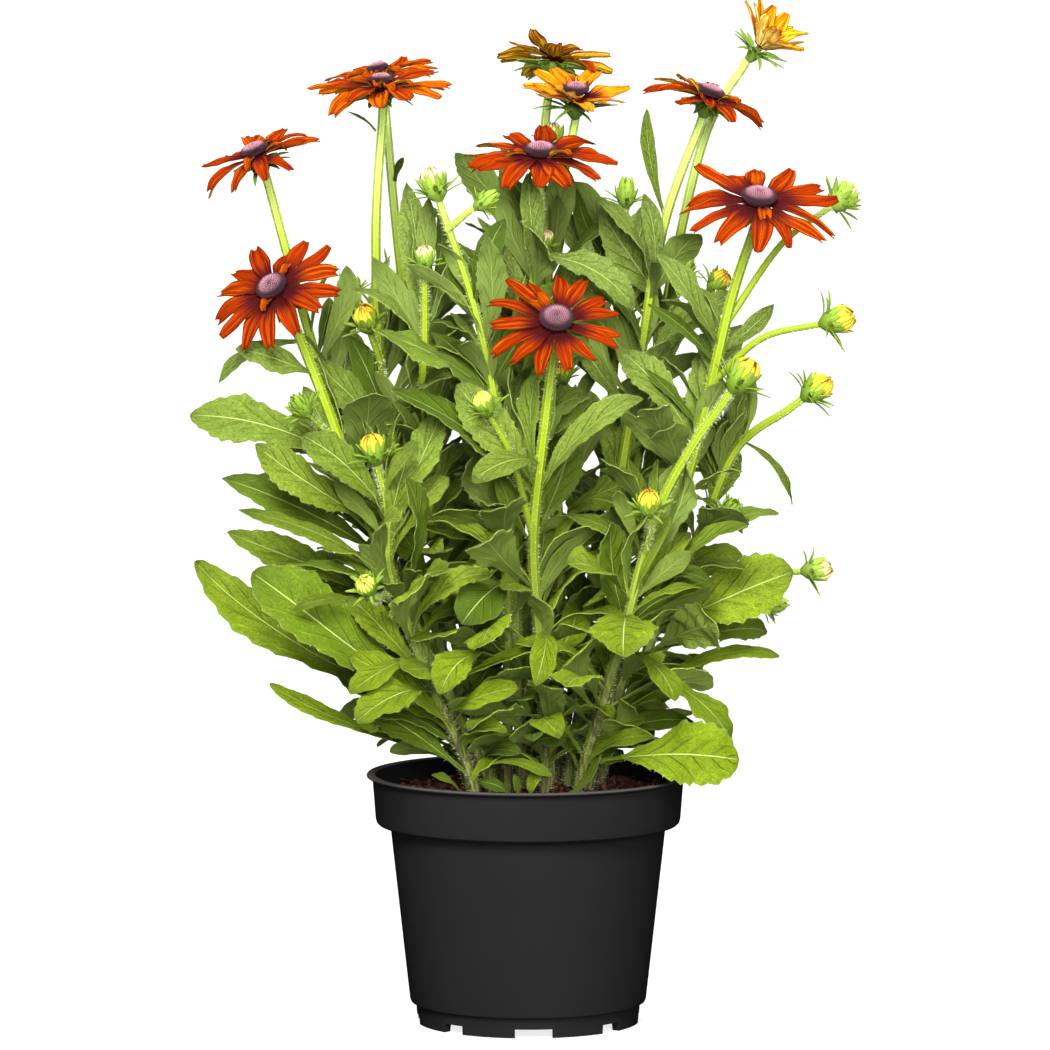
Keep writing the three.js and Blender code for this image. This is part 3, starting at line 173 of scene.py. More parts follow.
# Large leaves: stem, height of the root, tip, width, turn along the leaf, way that it faces and,
# where it stands out, how blunt its tip is.
KEY_LEAVES = [
    ("stem_08", 334, (-195, -58, 362), 31, 0.5, (0.2, -0.7, 0.65), 0.8),
    ("stem_08", 300, (-158, -76, 346), 31, 0.4, (0.1, -0.8, 0.6)),
    ("stem_07", 274, (-177, -46, 325), 27, 0.5, (-0.1, -0.85, 0.5)),
    ("stem_07", 246, (-176, -38, 291), 23, 0.3, (0.1, -0.8, 0.55), 0.7),
    ("stem_07", 187, (-197, -10, 272), 31, -0.65, (0.1, -0.85, 0.5)),
    ("stem_08", 182, (-156, -82, 275), 43, 0.15, (0.1, -0.9, 0.4), 1),
    ("stem_07", 158, (-152, -30, 201), 13, -0.1, (0.2, -0.5, 0.85)),
    ("stem_13", 200, (-98, -112, 192), 26, 1.3, (0.1, -0.7, 0.7), 0.7),
    ("stem_16", 262, (-38, -96, 246), 27, 1.3, (0.2, -0.7, 0.7)),
    ("stem_16", 215, (-50, -98, 204), 24, 1.5, (-0.3, -0.5, 0.8)),
    ("stem_01", 232, (4, -108, 211), 18, 1.8, (0.4, -0.4, 0.8)),
    ("stem_12", 246, (54, -128, 228), 40, 0.9, (0, -0.8, 0.6), 0.2),
    ("stem_12", 226, (84, -106, 202), 19, 1, (0.5, -0.6, 0.6)),
    ("stem_11", 210, (122, -56, 169), 25, 1.4, (0.5, -0.5, 0.7)),
    ("stem_12", 158, (121, -98, 167), 42, -0.1, (0, -0.9, 0.45), 1),
    ("stem_14", 232, (154, -30, 270), 41, 0.9, (-0.2, -0.85, 0.5), 0.6),
    ("stem_14", 192, (148, 0, 221), 17, 0.7, (0, -0.4, 0.9)),
    ("stem_11", 268, (126, -72, 300), 21, 0.5, (-0.2, -0.6, 0.8)),
    ("stem_03", 290, (65, -14, 320), 27, 0.8, (-0.1, -0.6, 0.8)),
    ("stem_09", 472, (69, 28, 536), 9, -0.15, (-0.4, -0.9, 0.2), 0.8),
    ("stem_14", 344, (154, -6, 306), 15, 1.1, (0.5, -0.4, 0.7)),
    ("stem_08", 385, (-168, -72, 402), 21, 0.6, (0, -0.6, 0.8)),
    ("stem_07", 402, (-182, -30, 381), 17, 1, (-0.4, -0.5, 0.7)),
    ("stem_02", 452, (62, -40, 423), 24, 1.1, (0.1, -0.7, 0.7)),
    ("stem_01", 318, (63, -108, 379), 24, 0.7, (-0.5, -0.6, 0.6)),
    ("stem_09", 378, (121, -34, 428), 27, 0.7, (-0.2, -0.6, 0.8)),
    ("stem_11", 224, (47, -72, 302), 26, -0.2, (0.2, -0.9, 0.3)),
    ("stem_01", 300, (-80, -82, 376), 28, 1, (0.3, -0.6, 0.7)),
    ("stem_01", 336, (-32, -118, 330), 19, 1.2, (0.1, -0.5, 0.85)),
    ("stem_13", 286, (-45, -76, 371), 22, 0.3, (-0.5, -0.8, 0.3)),
    ("stem_13", 304, (-129, -90, 353), 25, 0.4, (0.2, -0.8, 0.6)),
    ("stem_13", 222, (-102, -92, 205), 22, 1, (-0.3, -0.7, 0.6)),
    ("stem_12", 190, (22, -150, 214), 30, 0.9, (0, -0.5, 0.9)),
    ("stem_02", 330, (-52, -62, 398), 27, 0.8, (0.1, -0.7, 0.7)),
    ("stem_03", 395, (36, -22, 462), 23, 0.7, (0.2, -0.8, 0.5)),
    ("stem_05", 330, (-128, -34, 392), 27, 0.8, (0.2, -0.7, 0.7)),
    ("stem_05", 250, (-98, -58, 318), 29, 0.7, (0.1, -0.8, 0.6)),
    ("stem_16", 380, (22, -84, 440), 24, 0.8, (0.1, -0.8, 0.6)),
    ("stem_10", 420, (42, 8, 478), 25, 0.7, (-0.3, -0.7, 0.6)),
    ("stem_04", 205, (14, 150, 262), 32, 0.8, (0, 0.4, 0.9)),
    ("stem_06", 180, (-84, 132, 214), 30, 0.9, (0, 0.4, 0.9)),
    ("stem_10", 190, (112, 120, 232), 31, 0.8, (0.2, 0.4, 0.9)),
    ("stem_15", 300, (66, 136, 348), 25, 0.8, (0.2, 0.4, 0.9)),
    ("stem_06", 300, (-118, 112, 352), 26, 0.8, (-0.2, 0.4, 0.9)),
    ("stem_08", 262, (-167, -82, 308), 16, 0.6, (0, -0.6, 0.8), 0.3),
    ("stem_11", 330, (108, -20, 404), 21, 0.3, (-0.2, -0.95, 0.1)),
    ("stem_14", 300, (130, 4, 372), 17, 0.3, (-0.3, -0.9, 0.2)),
    ("stem_11", 398, (142, -40, 425), 11, 0.5, (0.3, -0.8, 0.5)),
    ("stem_14", 215, (142, 18, 232), 24, 0.8, (0, -0.6, 0.8)),
    ("stem_17", 398, (-70, 14, 492), 22, 0.4, (-0.3, -0.8, 0.4)),
    ("stem_15", 400, (72, 20, 482), 24, 0.6, (0.2, -0.8, 0.5)),
    ("stem_05", 345, (-104, -10, 405), 20, 0.3, (0.1, -0.9, 0.3)),
]
# Small leaves that stand out: sprouts at the peat and bracts on bare stems.
LOOSE_LEAVES = [
    ("stem_01", (-6, -62, 138), (-8, -68, 155), 6, 0.9, (0.6, -1, 0.4), 0.2),
    ("stem_01", (4, -58, 138), (9, -72, 160), 9, 1.8, (-0.6, -1, 0.6), 0.3),
    ("stem_01", (12, -62, 138), (40, -68, 167), 7, -1.5, (0, -0.6, 0.8), 0.2),
    ("stem_01", (-12, -50, 138), (-29, -64, 150), 9, 1.9, (0, -0.8, 0.6), 0.3),
    ("stem_01", (-28, -62, 157), (13, -76, 154), 9, 1.5, (0, -0.4, 0.9), 0.7),
    ("stem_01", (2, -56, 168), (22, -66, 174), 11, 1.9, (-0.4, -0.8, 0.7), 0.5),
    ("stem_13", (-40, -52, 139), (-56, -68, 154), 8, 1.5, (-0.4, -0.7, 0.7), 0.2),
    ("stem_13", (-95, -72, 257), (-135, -88, 253), 10, 0.6, (0, -0.6, 0.8), 0.2),
    ("stem_05", (-89, 2, 524), (-105, -2, 535), 2.6, 0.9, (0, -0.5, 0.9), 0.3),
    ("stem_06", (-79, 70, 492), (-74, 69, 506), 4.6, 0.3, (0, -1, 0.3), 0.8),
    ("stem_11", (36, -12, 166), (98, -24, 182), 17, 0.5, (0, -0.7, 0.7), 0.3),
    ("stem_11", (26, -16, 160), (68, -34, 184), 17, 0.7, (0.2, -0.8, 0.5), 0.4),
    ("stem_11", (28, -10, 158), (86, -30, 170), 10, 0.4, (0, -0.6, 0.8), 0.1),
    ("stem_09", (30, -4, 160), (46, -14, 224), 20, 0.4, (0.1, -1, 0.2), 0.2),
    ("stem_14", (44, 0, 190), (80, -16, 216), 19, 0.8, (0.2, -0.8, 0.5), 0.6),
]
# Hanging rays of a spent bloom in the clump.
SPENT_BLOOM = "bloom_08"
SPENT_RAYS = [
    ((-9, -52, 327), (0, -56, 302), 7, -0.3, (-0.3, -1, 0.2), 0.1),
    ((13, -50, 338), (10, -54, 322), 8, 0.5, (0.4, -1, 0.1), 1),
    ((2, -50, 330), (1, -55, 316), 7, 0.3, (0, -1, 0.1), 0.8),
]
KEY_TRIES = 9
KEY_NUDGE = 6

# Leaves that grow by rule, from the lowest on a stem to the highest.
LEAF_LOWEST, LEAF_HIGHEST = 150, 470
LEAF_TURN = 2.3999
LEAF_REACH = (112, 78)
LEAF_LIFT = (0.34, 1)
LEAF_SLIMNESS = (0.4, 0.34)
LEAF_BEND = (1, 0.6)
LEAF_SWING = 0.44
LEAF_TRIES = 15
LEAF_SHORTEN = 0.95
LEAF_INWARD = 0.3
LEAF_OUTFACE = 0.5
LEAF_ROLL = 0.55
# Low leaves have longer stalks and blunter tips than high ones.
FORM_LOWEST, FORM_HIGHEST = 150, 380
FORM_STALK = 0.22
FORM_BLUNT = (0.6, 0.05)
FORM_VARY = 0.5
TIP_TOLERANCE = 0.06
LOW_LEAVES = 0.24
# The share of small leaves left out where they would stand before the stems, low down and high up.
FRONT_THINNED = (0.3, 0.8)
# Leaves longer than this get finer faces and a fringe of hairs.
FINE_LENGTH = 70
TEETH = 11
FRILLS = 4.5
FRINGE_HAIRS = 52
FRINGE_FOOT = 0.0012
FRINGE_REACH = 1.7
VEIN_PAIRS = 7
VEIN_LEAN = 0.3

# Half the width of the foliage at a height.
ENVELOPE_HEIGHTS = (150, 180, 230, 300, 380, 430, 500)
ENVELOPE_WIDTHS = (84, 112, 142, 166, 158, 124, 70)
ENVELOPE_RIGHT = 0.9
ENVELOPE_DEPTH = 0.88

# Materials of a leafy stem, by their slot.
LEAF, STEM, HAIR, BRACT = 0, 1, 2, 3
# Steps along and across a leaf's template.
FINE_CELLS, COARSE_CELLS = (36, 6), (15, 4)
# The least half width of a leaf's stalk, of a fringed leaf and of every other blade.
STALK_HALF, RIM_HALF, NARROW_HALF = 1.2, 1.0, 0.25
HAIR_THICKNESS = 0.16
BLADE_THICKNESS = 0.5
# Nearly a full turn, as the phases of waves and the places on the peat take it.
PHASE_TURN, PEAT_TURN = 6.28, 6.283

# Heights above a bloom's centre of what it is built from.
CALYX_FOOT, CALYX_RIM, CALYX_TOP = -13, -5.4, -3.8
HUB_FOOT, HUB_TOP = -2.4, 1.4
DISC_FOOT = 2.3
# The spacing of a ray's pleats against its half width, and the half width of a floret against
# its share of the dome.
PLEAT = 0.8
FLORET_HALF = 0.62

# Rings of furled rays on a bud: how many, start in radii, rise, length in radii, bend and turn.
BUD_RINGS = (
    (14, 0.76, 1.15, 1.32, -1.7, 0.1),
    (9, 0.54, 1.2, 1.24, -1.5, 0.25),
    (5, 0.28, 1.35, 1.12, -1.0, 0.4),
)
# Rows of bracts on a bud's cup: how many, start and height in radii, rise, length and width in
# radii, bend, turn and tint. The second set closes a green bud.
BUD_BRACTS = [
    (11, 0.76, -0.5, 1.2, 0.95, 0.52, -0.3, 0, 0.9),
    (7, 0.72, -0.75, 0.6, 1.15, 0.4, 0.3, 0.5, 0.7),
    (4, 0.64, -0.95, 0.3, 1.4, 0.3, 0.2, 0.2, 0.5),
]
CLOSING_BRACTS = [
    (8, 0.6, -0.2, 1.35, 1.35, 0.5, -0.7, 0.3, 0.9),
    (6, 0.45, 0.1, 1.3, 1.1, 0.5, -0.9, 0.1, 1),
]

# The pot's foot: notches by turns wide and narrow, and drain holes in its floor.
NOTCHES = 8
NOTCH_WIDTHS = (22, 14)
NOTCH_DEPTH, NOTCH_HEIGHT = 16, 10.4
NOTCH_PLACE = 66
NOTCH_START = -87
DRAIN_HOLES = 4
DRAIN_RADIUS, DRAIN_PLACE = 4.5, 42

# The peat's height in the middle and at its edge, and how far crumbs and fibres lie from the axis.
PEAT_MIDDLE, PEAT_RIM = 139.5, 134.5
PEAT_EDGE, PEAT_REACH = 88.1, 89
PEAT_TOP = 134
CRUMB_REACH, FIBRE_REACH = 86.5, 84
CRUMBLE = 1.6
CRUMBLE_WAVES = (
    (0.31, 0.17, 0.4),
    (-0.13, 0.37, 1.9),
    (0.71, -0.53, 2.6),
    (-0.97, -0.61, 0.8),
    (1.7, 1.3, 5.1),
)


class PotSettings(bpy.types.PropertyGroup):
    """Sizes and colour of the nursery pot."""

    color: FloatVectorProperty(name="Colour", description="Colour of the pot's plastic",
                               subtype="COLOR", size=3, default=(0.0096, 0.0096, 0.01))
    wall: FloatProperty(name="Wall", description="Thickness of the pot's wall", unit="LENGTH",
                        default=0.0017)
    sides: IntProperty(name="Sides", description="Steps round the pot", default=128)


class PeatSettings(bpy.types.PropertyGroup):
    """Colour and crumbs of the peat."""

    color: FloatVectorProperty(name="Colour", description="Colour of the peat", subtype="COLOR",
                               size=3, default=(0.062, 0.027, 0.016))
    crumbs: IntProperty(name="Crumbs", description="Loose crumbs on the surface", default=1700)
    fibres: IntProperty(name="Fibres", description="Loose fibres on the surface", default=260)


class FoliageSettings(bpy.types.PropertyGroup):
    """Leaves, stems and their hairs."""

    leaf_color: FloatVectorProperty(name="Leaf", description="Colour of a grown leaf",
                                    subtype="COLOR", size=3, default=(0.18, 0.29, 0.009))
    young_color: FloatVectorProperty(name="Young leaf", description="Colour of a young leaf",
                                     subtype="COLOR", size=3, default=(0.34, 0.46, 0.008))
    stem_color: FloatVectorProperty(name="Stem", description="Colour of a stem", subtype="COLOR",
                                    size=3, default=(0.18, 0.25, 0.005))
    leaf_thickness: FloatProperty(name="Leaf thickness", description="Thickness of a leaf",
                                  unit="LENGTH", default=0.0005)
    small_leaves: IntProperty(name="Small leaves", description="Small leaves tried on each stem",
                              default=60)
    hairs: IntProperty(name="Hairs", description="Hairs on each stem", default=950)
    hair_length: FloatProperty(name="Hair length", description="Length of a hair", unit="LENGTH",
                               default=0.0025)


class BloomSettings(bpy.types.PropertyGroup):
    """Rays, discs and buds."""

    ray_color: FloatVectorProperty(name="Ray", description="Colour of an open ray",
                                   subtype="COLOR", size=3, default=(0.225, 0.02, 0.001))
    amber_color: FloatVectorProperty(name="Amber ray", description="Colour of a golden ray",
                                     subtype="COLOR", size=3, default=(0.72, 0.21, 0.004))
    disc_color: FloatVectorProperty(name="Disc", description="Colour of the florets",
                                    subtype="COLOR", size=3, default=(0.4, 0.19, 0.235))
    ray_thickness: FloatProperty(name="Ray thickness", description="Thickness of a ray",
                                 unit="LENGTH", default=0.0005)
    florets: IntProperty(name="Florets", description="Florets on a full disc", default=500)


class ConeflowerSettings(bpy.types.PropertyGroup):
    """All settings of the coneflower."""

    pot: PointerProperty(type=PotSettings, name="Pot", description="The nursery pot")
    peat: PointerProperty(type=PeatSettings, name="Peat", description="The peat")
    foliage: PointerProperty(type=FoliageSettings, name="Foliage", description="Leaves and stems")
    bloom: PointerProperty(type=BloomSettings, name="Blooms", description="Blooms and buds")


# Arithmetic on points and directions.


def vec(values):
    """Numbers as an array."""
    return np.array(values, dtype=float)


UP = vec((0, 0, 1))


def unit(values):
    """The direction of a vector, with length 1."""
    values = vec(values)
    return values / np.linalg.norm(values)


def mix(low, high, share):
    """The value at a share of the way from low to high."""
    return low + (high - low) * share


def draw(a, b, c):
    """A repeatable draw from 0 to 1 for three whole numbers."""
    raw = math.sin(a * 127.1 + b * 311.7 + c * 74.7) * 43758.5453
    return raw - math.floor(raw)


def turned(first, second, angle):
    """The direction at an angle from first towards second."""
    return first * math.cos(angle) + second * math.sin(angle)


class Curve:
    """A smooth curve through its points, with open ends."""

    def __init__(self, points):
        points = [vec(point) for point in points]
        before = 2 * points[0] - points[1]
        after = 2 * points[-1] - points[-2]
        self.points = [before, *points, after]
        self.spans = len(points) - 1

    def at(self, share):
        """The point at a share of the way."""
        place = min(max(share, 0), 1) * self.spans
        span = min(int(place), self.spans - 1)
        weight = place - span
        p0, p1, p2, p3 = self.points[span : span + 4]
        first, last = 0.5 * (p2 - p0), 0.5 * (p3 - p1)
        square = -3 * p1 + 3 * p2 - 2 * first - last
        cube = 2 * p1 - 2 * p2 + first + last
        return p1 + first * weight + square * weight**2 + cube * weight**3

    def heading(self, share):
        """The direction of the way at a share of it."""
        step = 1e-3
        return unit(self.at(min(share + step, 1)) - self.at(max(share - step, 0)))

    def at_height(self, height):
        """The point at a height, found by halving."""
        low, high = 0.0, 1.0
        for _ in range(30):
            middle = (low + high) / 2
            if self.at(middle)[2] < height:
                low = middle
            else:
                high = middle
        return self.at(low)


class Head:
    """A bloom's or bud's place: its centre, its axis and two directions across it."""

    def __init__(self, centre, axis):
        self.centre = vec(centre)
        self.axis = unit(axis)
        helper = vec((0, 1, 0))
        self.first = unit(helper - self.axis * (helper @ self.axis))
        self.second = np.cross(self.axis, self.first)

    def place(self, points):
        """Points of (first, second, height) in the plant's own frame."""
        across = points[:, :1] * self.first + points[:, 1:2] * self.second
        return self.centre + across + points[:, 2:3] * self.axis

    def radial(self, angle, start, height, rise, **shape):
        """A narrow blade that leaves the axis at an angle round it, rising from the plane."""
        outward = turned(self.first, self.second, angle)
        heading = turned(outward, self.axis, rise)
        up = turned(self.axis, -outward, rise)
        root = self.centre + self.axis * height + outward * start
        frame_of = dict(root=root, heading=heading, up=up, side=np.cross(heading, up))
        plain = dict(sway=0, waves=1, phase=0, twist=0, fold=0.2, wave=0, curl=0, cup=0)
        return {**plain, **shape, **frame_of}


def stem_curve(name):
    """A stem's axis: under the soil, through its points, and straight into its head."""
    path = STEMS[name][0]
    bloom = next((row for row in BLOOMS.values() if row[0] == name), None)
    bud = next((row for row in BUDS.values() if row[0] == name and not row[1]), None)
    axis = unit(bloom[1]) if bloom else unit(vec(path[-1]) - vec(path[-2]))
    neck, seat = (17, 8) if bloom else (bud[2] * 2.6, bud[2] * 1.1)
    root = (path[0][0] * ROOT_DRAW, path[0][1] * ROOT_DRAW, ROOT_HEIGHT)
    end = vec(path[-1])
    return Curve([root, *path[:-1], end - axis * neck, end - axis * seat])


CURVES = {name: stem_curve(name) for name in STEMS}


def arch(share, power):
    """Rises from nothing at 0 and falls back to it at 1, the later the higher the power."""
    return np.clip(np.sin(math.pi * np.clip(share, 0, 1) ** power), 0, 1)


def leaf_outline(u, leaf):
    """The share of its full half width that a leaf has from its root to its tip."""
    share = (u - leaf["stalk"]) / (1 - leaf["stalk"])
    return arch(share, 1.35 + 0.55 * leaf["blunt"]) ** (0.9 - 0.34 * leaf["blunt"])


def ray_outline(u):
    """The share of its half width that an open ray has: full soon, and round at its tip."""
    return np.minimum(1, 0.28 + 1.5 * u) * (1 - 0.66 * np.clip(u, 0, 1.1) ** 3.7)


def furled_outline(u):
    """The share of its half width that a furled ray has."""
    return np.minimum(1, 0.7 + 1.1 * u) * (1 - 0.62 * np.clip(u, 0, 1.1) ** 2.4)


def bract_outline(u):
    """The share of its half width that a bract has."""
    return np.sqrt(arch(u, 0.75)) * (1 - 0.3 * u)


def midrib(blade, u):
    """How far along its heading and down from it the midrib is, and how far it has turned.
    It bends evenly, and its last part may curl."""
    steps = np.linspace(0, 1, 41)
    turns = blade["bend"] * steps + blade["curl"] * np.clip((steps - 0.55) / 0.45, 0, 1) ** 2
    reach = blade["length"] * steps[1]
    runs, drops = (
        np.concatenate([[0], np.cumsum((way[1:] + way[:-1]) / 2 * reach)])
        for way in (np.cos(turns), np.sin(turns))
    )
    return np.interp(u, steps, runs), np.interp(u, steps, drops), np.interp(u, steps, turns)


def blade_points(blade, half_outline, u, v, w, petiole=0.0):
    """Points of a blade. u runs from its root to its tip, v across it from -1 to 1, and w lifts
    a point off it. The sides fold up from the midrib, arch over and wave."""
    run, drop, turn = (column[:, None] for column in midrib(blade, u))
    heading, up, side = blade["heading"], blade["up"], blade["side"]
    sway = (blade["sway"] * 4 * u * (1 - u))[:, None]
    middle = blade["root"] + heading * run - up * drop + side * blade["length"] * sway
    normal = up * np.cos(turn) + heading * np.sin(turn)
    roll = (blade["twist"] * u)[:, None]
    across = side * np.cos(roll) + normal * np.sin(roll)
    face = normal * np.cos(roll) - side * np.sin(roll)
    half = np.maximum(0.5 * blade["width"] * half_outline, petiole)
    swing = 2 * math.pi * blade["waves"] * u + blade["phase"] + np.where(v < 0, 2.2, 0)
    ripple = blade["wave"] * (np.sin(swing) + 0.4 * np.sin(2.7 * swing + 1))
    lift = half * (np.abs(v) * (math.sin(blade["fold"]) + ripple) - blade["cup"] * v**2)
    aside = half * v * math.cos(blade["fold"])
    return middle + across * aside[:, None] + face * (lift + w)[:, None]


def leaf_between(root, tip, width, bend, facing, seed, blunt=None):
    """A leaf from its root to its tip, with the arc between them turning by bend."""
    share = min(1, max(0, (root[2] - FORM_LOWEST) / (FORM_HIGHEST - FORM_LOWEST)))
    if blunt is None:
        blunt = mix(*FORM_BLUNT, share) + FORM_VARY * draw(seed, 9, 10)
    chord = tip - root
    distance = np.linalg.norm(chord)
    chord = chord / distance
    outward = unit(facing - chord * (facing @ chord))
    half = bend / 2
    heading = turned(chord, outward, half)
    up = turned(outward, -chord, half)
    return dict(
        root=root, tip=tip, heading=heading, up=up, side=np.cross(heading, up),
        length=distance * half / math.sin(half), width=width, bend=bend,
        fold=0.12 + 0.3 * draw(seed, 1, 2),
        twist=(draw(seed, 2, 3) - 0.5) * 0.7,
        sway=(draw(seed, 3, 4) - 0.5) * 0.12,
        wave=0.07 + 0.11 * draw(seed, 4, 5),
        waves=1.5 + draw(seed, 5, 6),
        phase=PHASE_TURN * draw(seed, 6, 7),
        curl=0.7 * (draw(seed, 7, 8) - 0.35),
        cup=0.1 + 0.14 * draw(seed, 8, 9),
        stalk=FORM_STALK * (1 - share),
        blunt=blunt,
        seed=seed,
    )


def key_leaf(row, number, attempt):
    """A leaf of the table. Each further attempt moves its tip forward or back."""
    stem, height, tip, width, bend, face, *blunt = row
    tip = vec(tip)
    tip[1] += (-1 if attempt % 2 else 1) * math.ceil(attempt / 2) * KEY_NUDGE
    root = CURVES[stem].at_height(height)
    return leaf_between(root, tip, width, bend, vec(face), number + 300, *blunt)


def rule_leaf(stem, slot, attempt):
    """The leaf in a slot of a stem. Each further attempt swings it round the stem."""
    number = list(STEMS).index(stem)
    leafy, leaves = STEMS[stem][2:]
    chance = [draw(number + 1, slot + 1, part) - 0.5 for part in range(6)]
    height = mix(*leafy, (slot + 0.5 + 0.5 * chance[1]) / leaves)
    root = CURVES[stem].at_height(height)
    share = min(1, max(0, (height - LEAF_LOWEST) / (LEAF_HIGHEST - LEAF_LOWEST)))
    swing = (1 if attempt % 2 else -1) * math.ceil(attempt / 2) * LEAF_SWING
    azimuth = LEAF_TURN * slot + 1.7 * number + swing
    outward = vec((math.cos(azimuth), math.sin(azimuth), 0))
    away = unit((root[0], root[1], 0)) @ outward
    size = (1 + 0.4 * chance[2]) * LEAF_SHORTEN**attempt * (1 - LEAF_INWARD * (1 - away) / 2)
    reach = mix(*LEAF_REACH, share) * size
    lift = mix(*LEAF_LIFT, share) + 0.5 * chance[3] - 0.25 * away
    tip = root + outward * reach * math.cos(lift) + vec((0, 0, reach * math.sin(lift)))
    width = reach * mix(*LEAF_SLIMNESS, share) * (1 + 0.4 * chance[4])
    bend = mix(*LEAF_BEND, share) * (1 + 1.1 * chance[5])
    middle = root + outward * reach / 2
    aside = 2 * math.pi * draw(number + 1, slot + 1, 6)
    facing = UP + LEAF_OUTFACE * unit((middle[0], middle[1], 0))
    facing += LEAF_ROLL * vec((math.cos(aside), math.sin(aside), 0))
    return leaf_between(root, tip, width, bend, facing, number * 20 + slot)


def small_leaf(stem, slot, attempt):
    """One of the leaves between the large ones: the lower, the wider and the more arched."""
    number = list(STEMS).index(stem)
    seed = 1000 + number * 60 + slot
    chance = [draw(seed, attempt, part) for part in range(6)]
    share = mix(0.06, 1, draw(seed, 9, 9))
    low = draw(seed, 9, 12) < LOW_LEAVES
    if low:
        share *= 0.12
    root = CURVES[stem].at_height(mix(146, STEMS[stem][2][1], share))
    azimuth = 2 * math.pi * chance[0]
    outward = vec((math.cos(azimuth), math.sin(azimuth), 0))
    lift = mix(0.3 if low else 0.2, 1.2, share) + 0.8 * (chance[1] - 0.5)
    reach = mix(112, 72, share) * (0.55 + 0.5 * chance[2]) * 0.97**attempt
    tip = root + outward * reach * math.cos(lift) + vec((0, 0, reach * math.sin(lift)))
    width = reach * mix(0.28 if low else 0.34, 0.22, share) * (0.8 + 0.4 * chance[3])
    bend = mix(1.4, 0.7, share) * (0.4 + 1.1 * chance[4])
    facing = UP + turned(outward, np.cross(UP, outward), 2 * math.pi * chance[5]) * 0.7
    leaf = leaf_between(root, tip, width, bend, facing, seed)
    hidden = outward[1] < -0.3 and draw(seed, attempt, 8) < mix(*FRONT_THINNED, share)
    # A low leaf carries painted shade: its tint is lowered, which darkens it toward the shaded green.
    return dict(leaf, shade=0.7 if low else 0, hidden=hidden)


def loose_leaves(stem):
    """The small leaves of the table that grow with a stem."""
    leaves = []
    for number, (name, root, tip, width, bend, face, blunt) in enumerate(LOOSE_LEAVES):
        if name == stem:
            leaf = leaf_between(vec(root), vec(tip), width, bend, vec(face), number + 500, blunt)
            # Each loose leaf carries painted shade, which lowers its tint toward the shaded green.
            leaves.append(dict(leaf, shade=0.5))
    return leaves


def inside_envelope(point):
    """Whether a point lies within the foliage."""
    reach = np.interp(point[2], ENVELOPE_HEIGHTS, ENVELOPE_WIDTHS)
    reach *= ENVELOPE_RIGHT if point[0] > 0 else 1
    return math.hypot(point[0] / reach, point[1] / (reach * ENVELOPE_DEPTH)) < 1


# Templates: small meshes in (u, v, w), made once, that are laid on each blade, rod or head.


def new_shape():
    """An empty mesh with a UV map."""
    bm = bmesh.new()
    bm.loops.layers.uv.new("UVMap")
    return bm


def grid_template(name, rows, columns):
    """A flat blade: u from 0 to 1, v from -1 to 1, with two skins closed round the rim."""
    bm = new_shape()
    bmesh.ops.create_grid(bm, x_segments=rows, y_segments=columns, size=1, calc_uvs=True)
    bmesh.ops.solidify(bm, geom=bm.faces[:], thickness=1)
    low = min(vert.co.z for vert in bm.verts)
    for vert in bm.verts:
        vert.co = ((vert.co.x + 1) / 2, -vert.co.y, (vert.co.z - low) - 0.5)
    bmesh.ops.recalc_face_normals(bm, faces=bm.faces[:])
    return as_template(bm, name)


def rod_template(name, sides, rows):
    """A round bar of radius 1 along w from 0 to 1, in rings."""
    bm = new_shape()
    bmesh.ops.create_cone(bm, segments=sides, radius1=1, radius2=1, depth=1, cap_ends=True,
                          calc_uvs=True)
    long_edges = [edge for edge in bm.edges if abs(edge.verts[0].co.z - edge.verts[1].co.z) > 0.5]
    bmesh.ops.subdivide_edges(bm, edges=long_edges, cuts=rows - 1, use_grid_fill=True)
    bmesh.ops.translate(bm, vec=(0, 0, 0.5), verts=bm.verts[:])
    return as_template(bm, name)


def spun_template(name, profile, steps):
    """A closed profile of (radius, height) points spun about the axis."""
    bm = new_shape()
    verts = [bm.verts.new((radius, 0, height)) for radius, height in profile]
    edges = [bm.edges.new(pair) for pair in zip(verts, verts[1:])]
    bmesh.ops.spin(bm, geom=verts + edges, axis=(0, 0, 1), cent=(0, 0, 0), angle=2 * math.pi,
                   steps=steps, use_merge=True)
    bmesh.ops.remove_doubles(bm, verts=bm.verts[:], dist=1e-4)
    bmesh.ops.recalc_face_normals(bm, faces=bm.faces[:])
    return as_template(bm, name)


def cone_template(name, sides):
    """A closed spike of radius 1 at its foot and length 1."""
    bm = new_shape()
    bmesh.ops.create_cone(bm, segments=sides, radius1=1, radius2=0, depth=1, cap_ends=True,
                          calc_uvs=True)
    bmesh.ops.translate(bm, vec=(0, 0, 0.5), verts=bm.verts[:])
    return as_template(bm, name)


def fringe_template(name, count):
    """Spikes along both rims of a blade: v is 1 at their feet and 2 at their tips."""
    bm = new_shape()
    for k in range(count):
        side = 1 if k % 2 else -1
        place = Matrix.Translation((mix(0.06, 0.99, (k + 0.5) / count), side * 1.5, 0))
        place @= Matrix.Rotation(-side * math.pi / 2, 4, "X")
        bmesh.ops.create_cone(bm, segments=3, radius1=FRINGE_FOOT, radius2=0, depth=1, cap_ends=True,
                              matrix=place, calc_uvs=True)
    return as_template(bm, name)


def lump_template(name, subdivisions):
    """A ball of radius 1."""
    bm = new_shape()
    bmesh.ops.create_icosphere(bm, subdivisions=subdivisions, radius=1, calc_uvs=True)
    return as_template(bm, name)


def as_template(bm, name):
    """The mesh of a template, with the two values that its material reads."""
    mesh = bpy.data.meshes.new(name)
    bm.to_mesh(mesh)
    bm.free()
    mesh.attributes.new("tint", "FLOAT", "POINT")
    mesh.attributes.new("skin", "FLOAT", "POINT")
    return mesh


def corners(mesh):
    """The corner positions of a mesh, one row each."""
    flat = np.empty(len(mesh.vertices) * 3)
    mesh.vertices.foreach_get("co", flat)
    return flat.reshape(-1, 3)


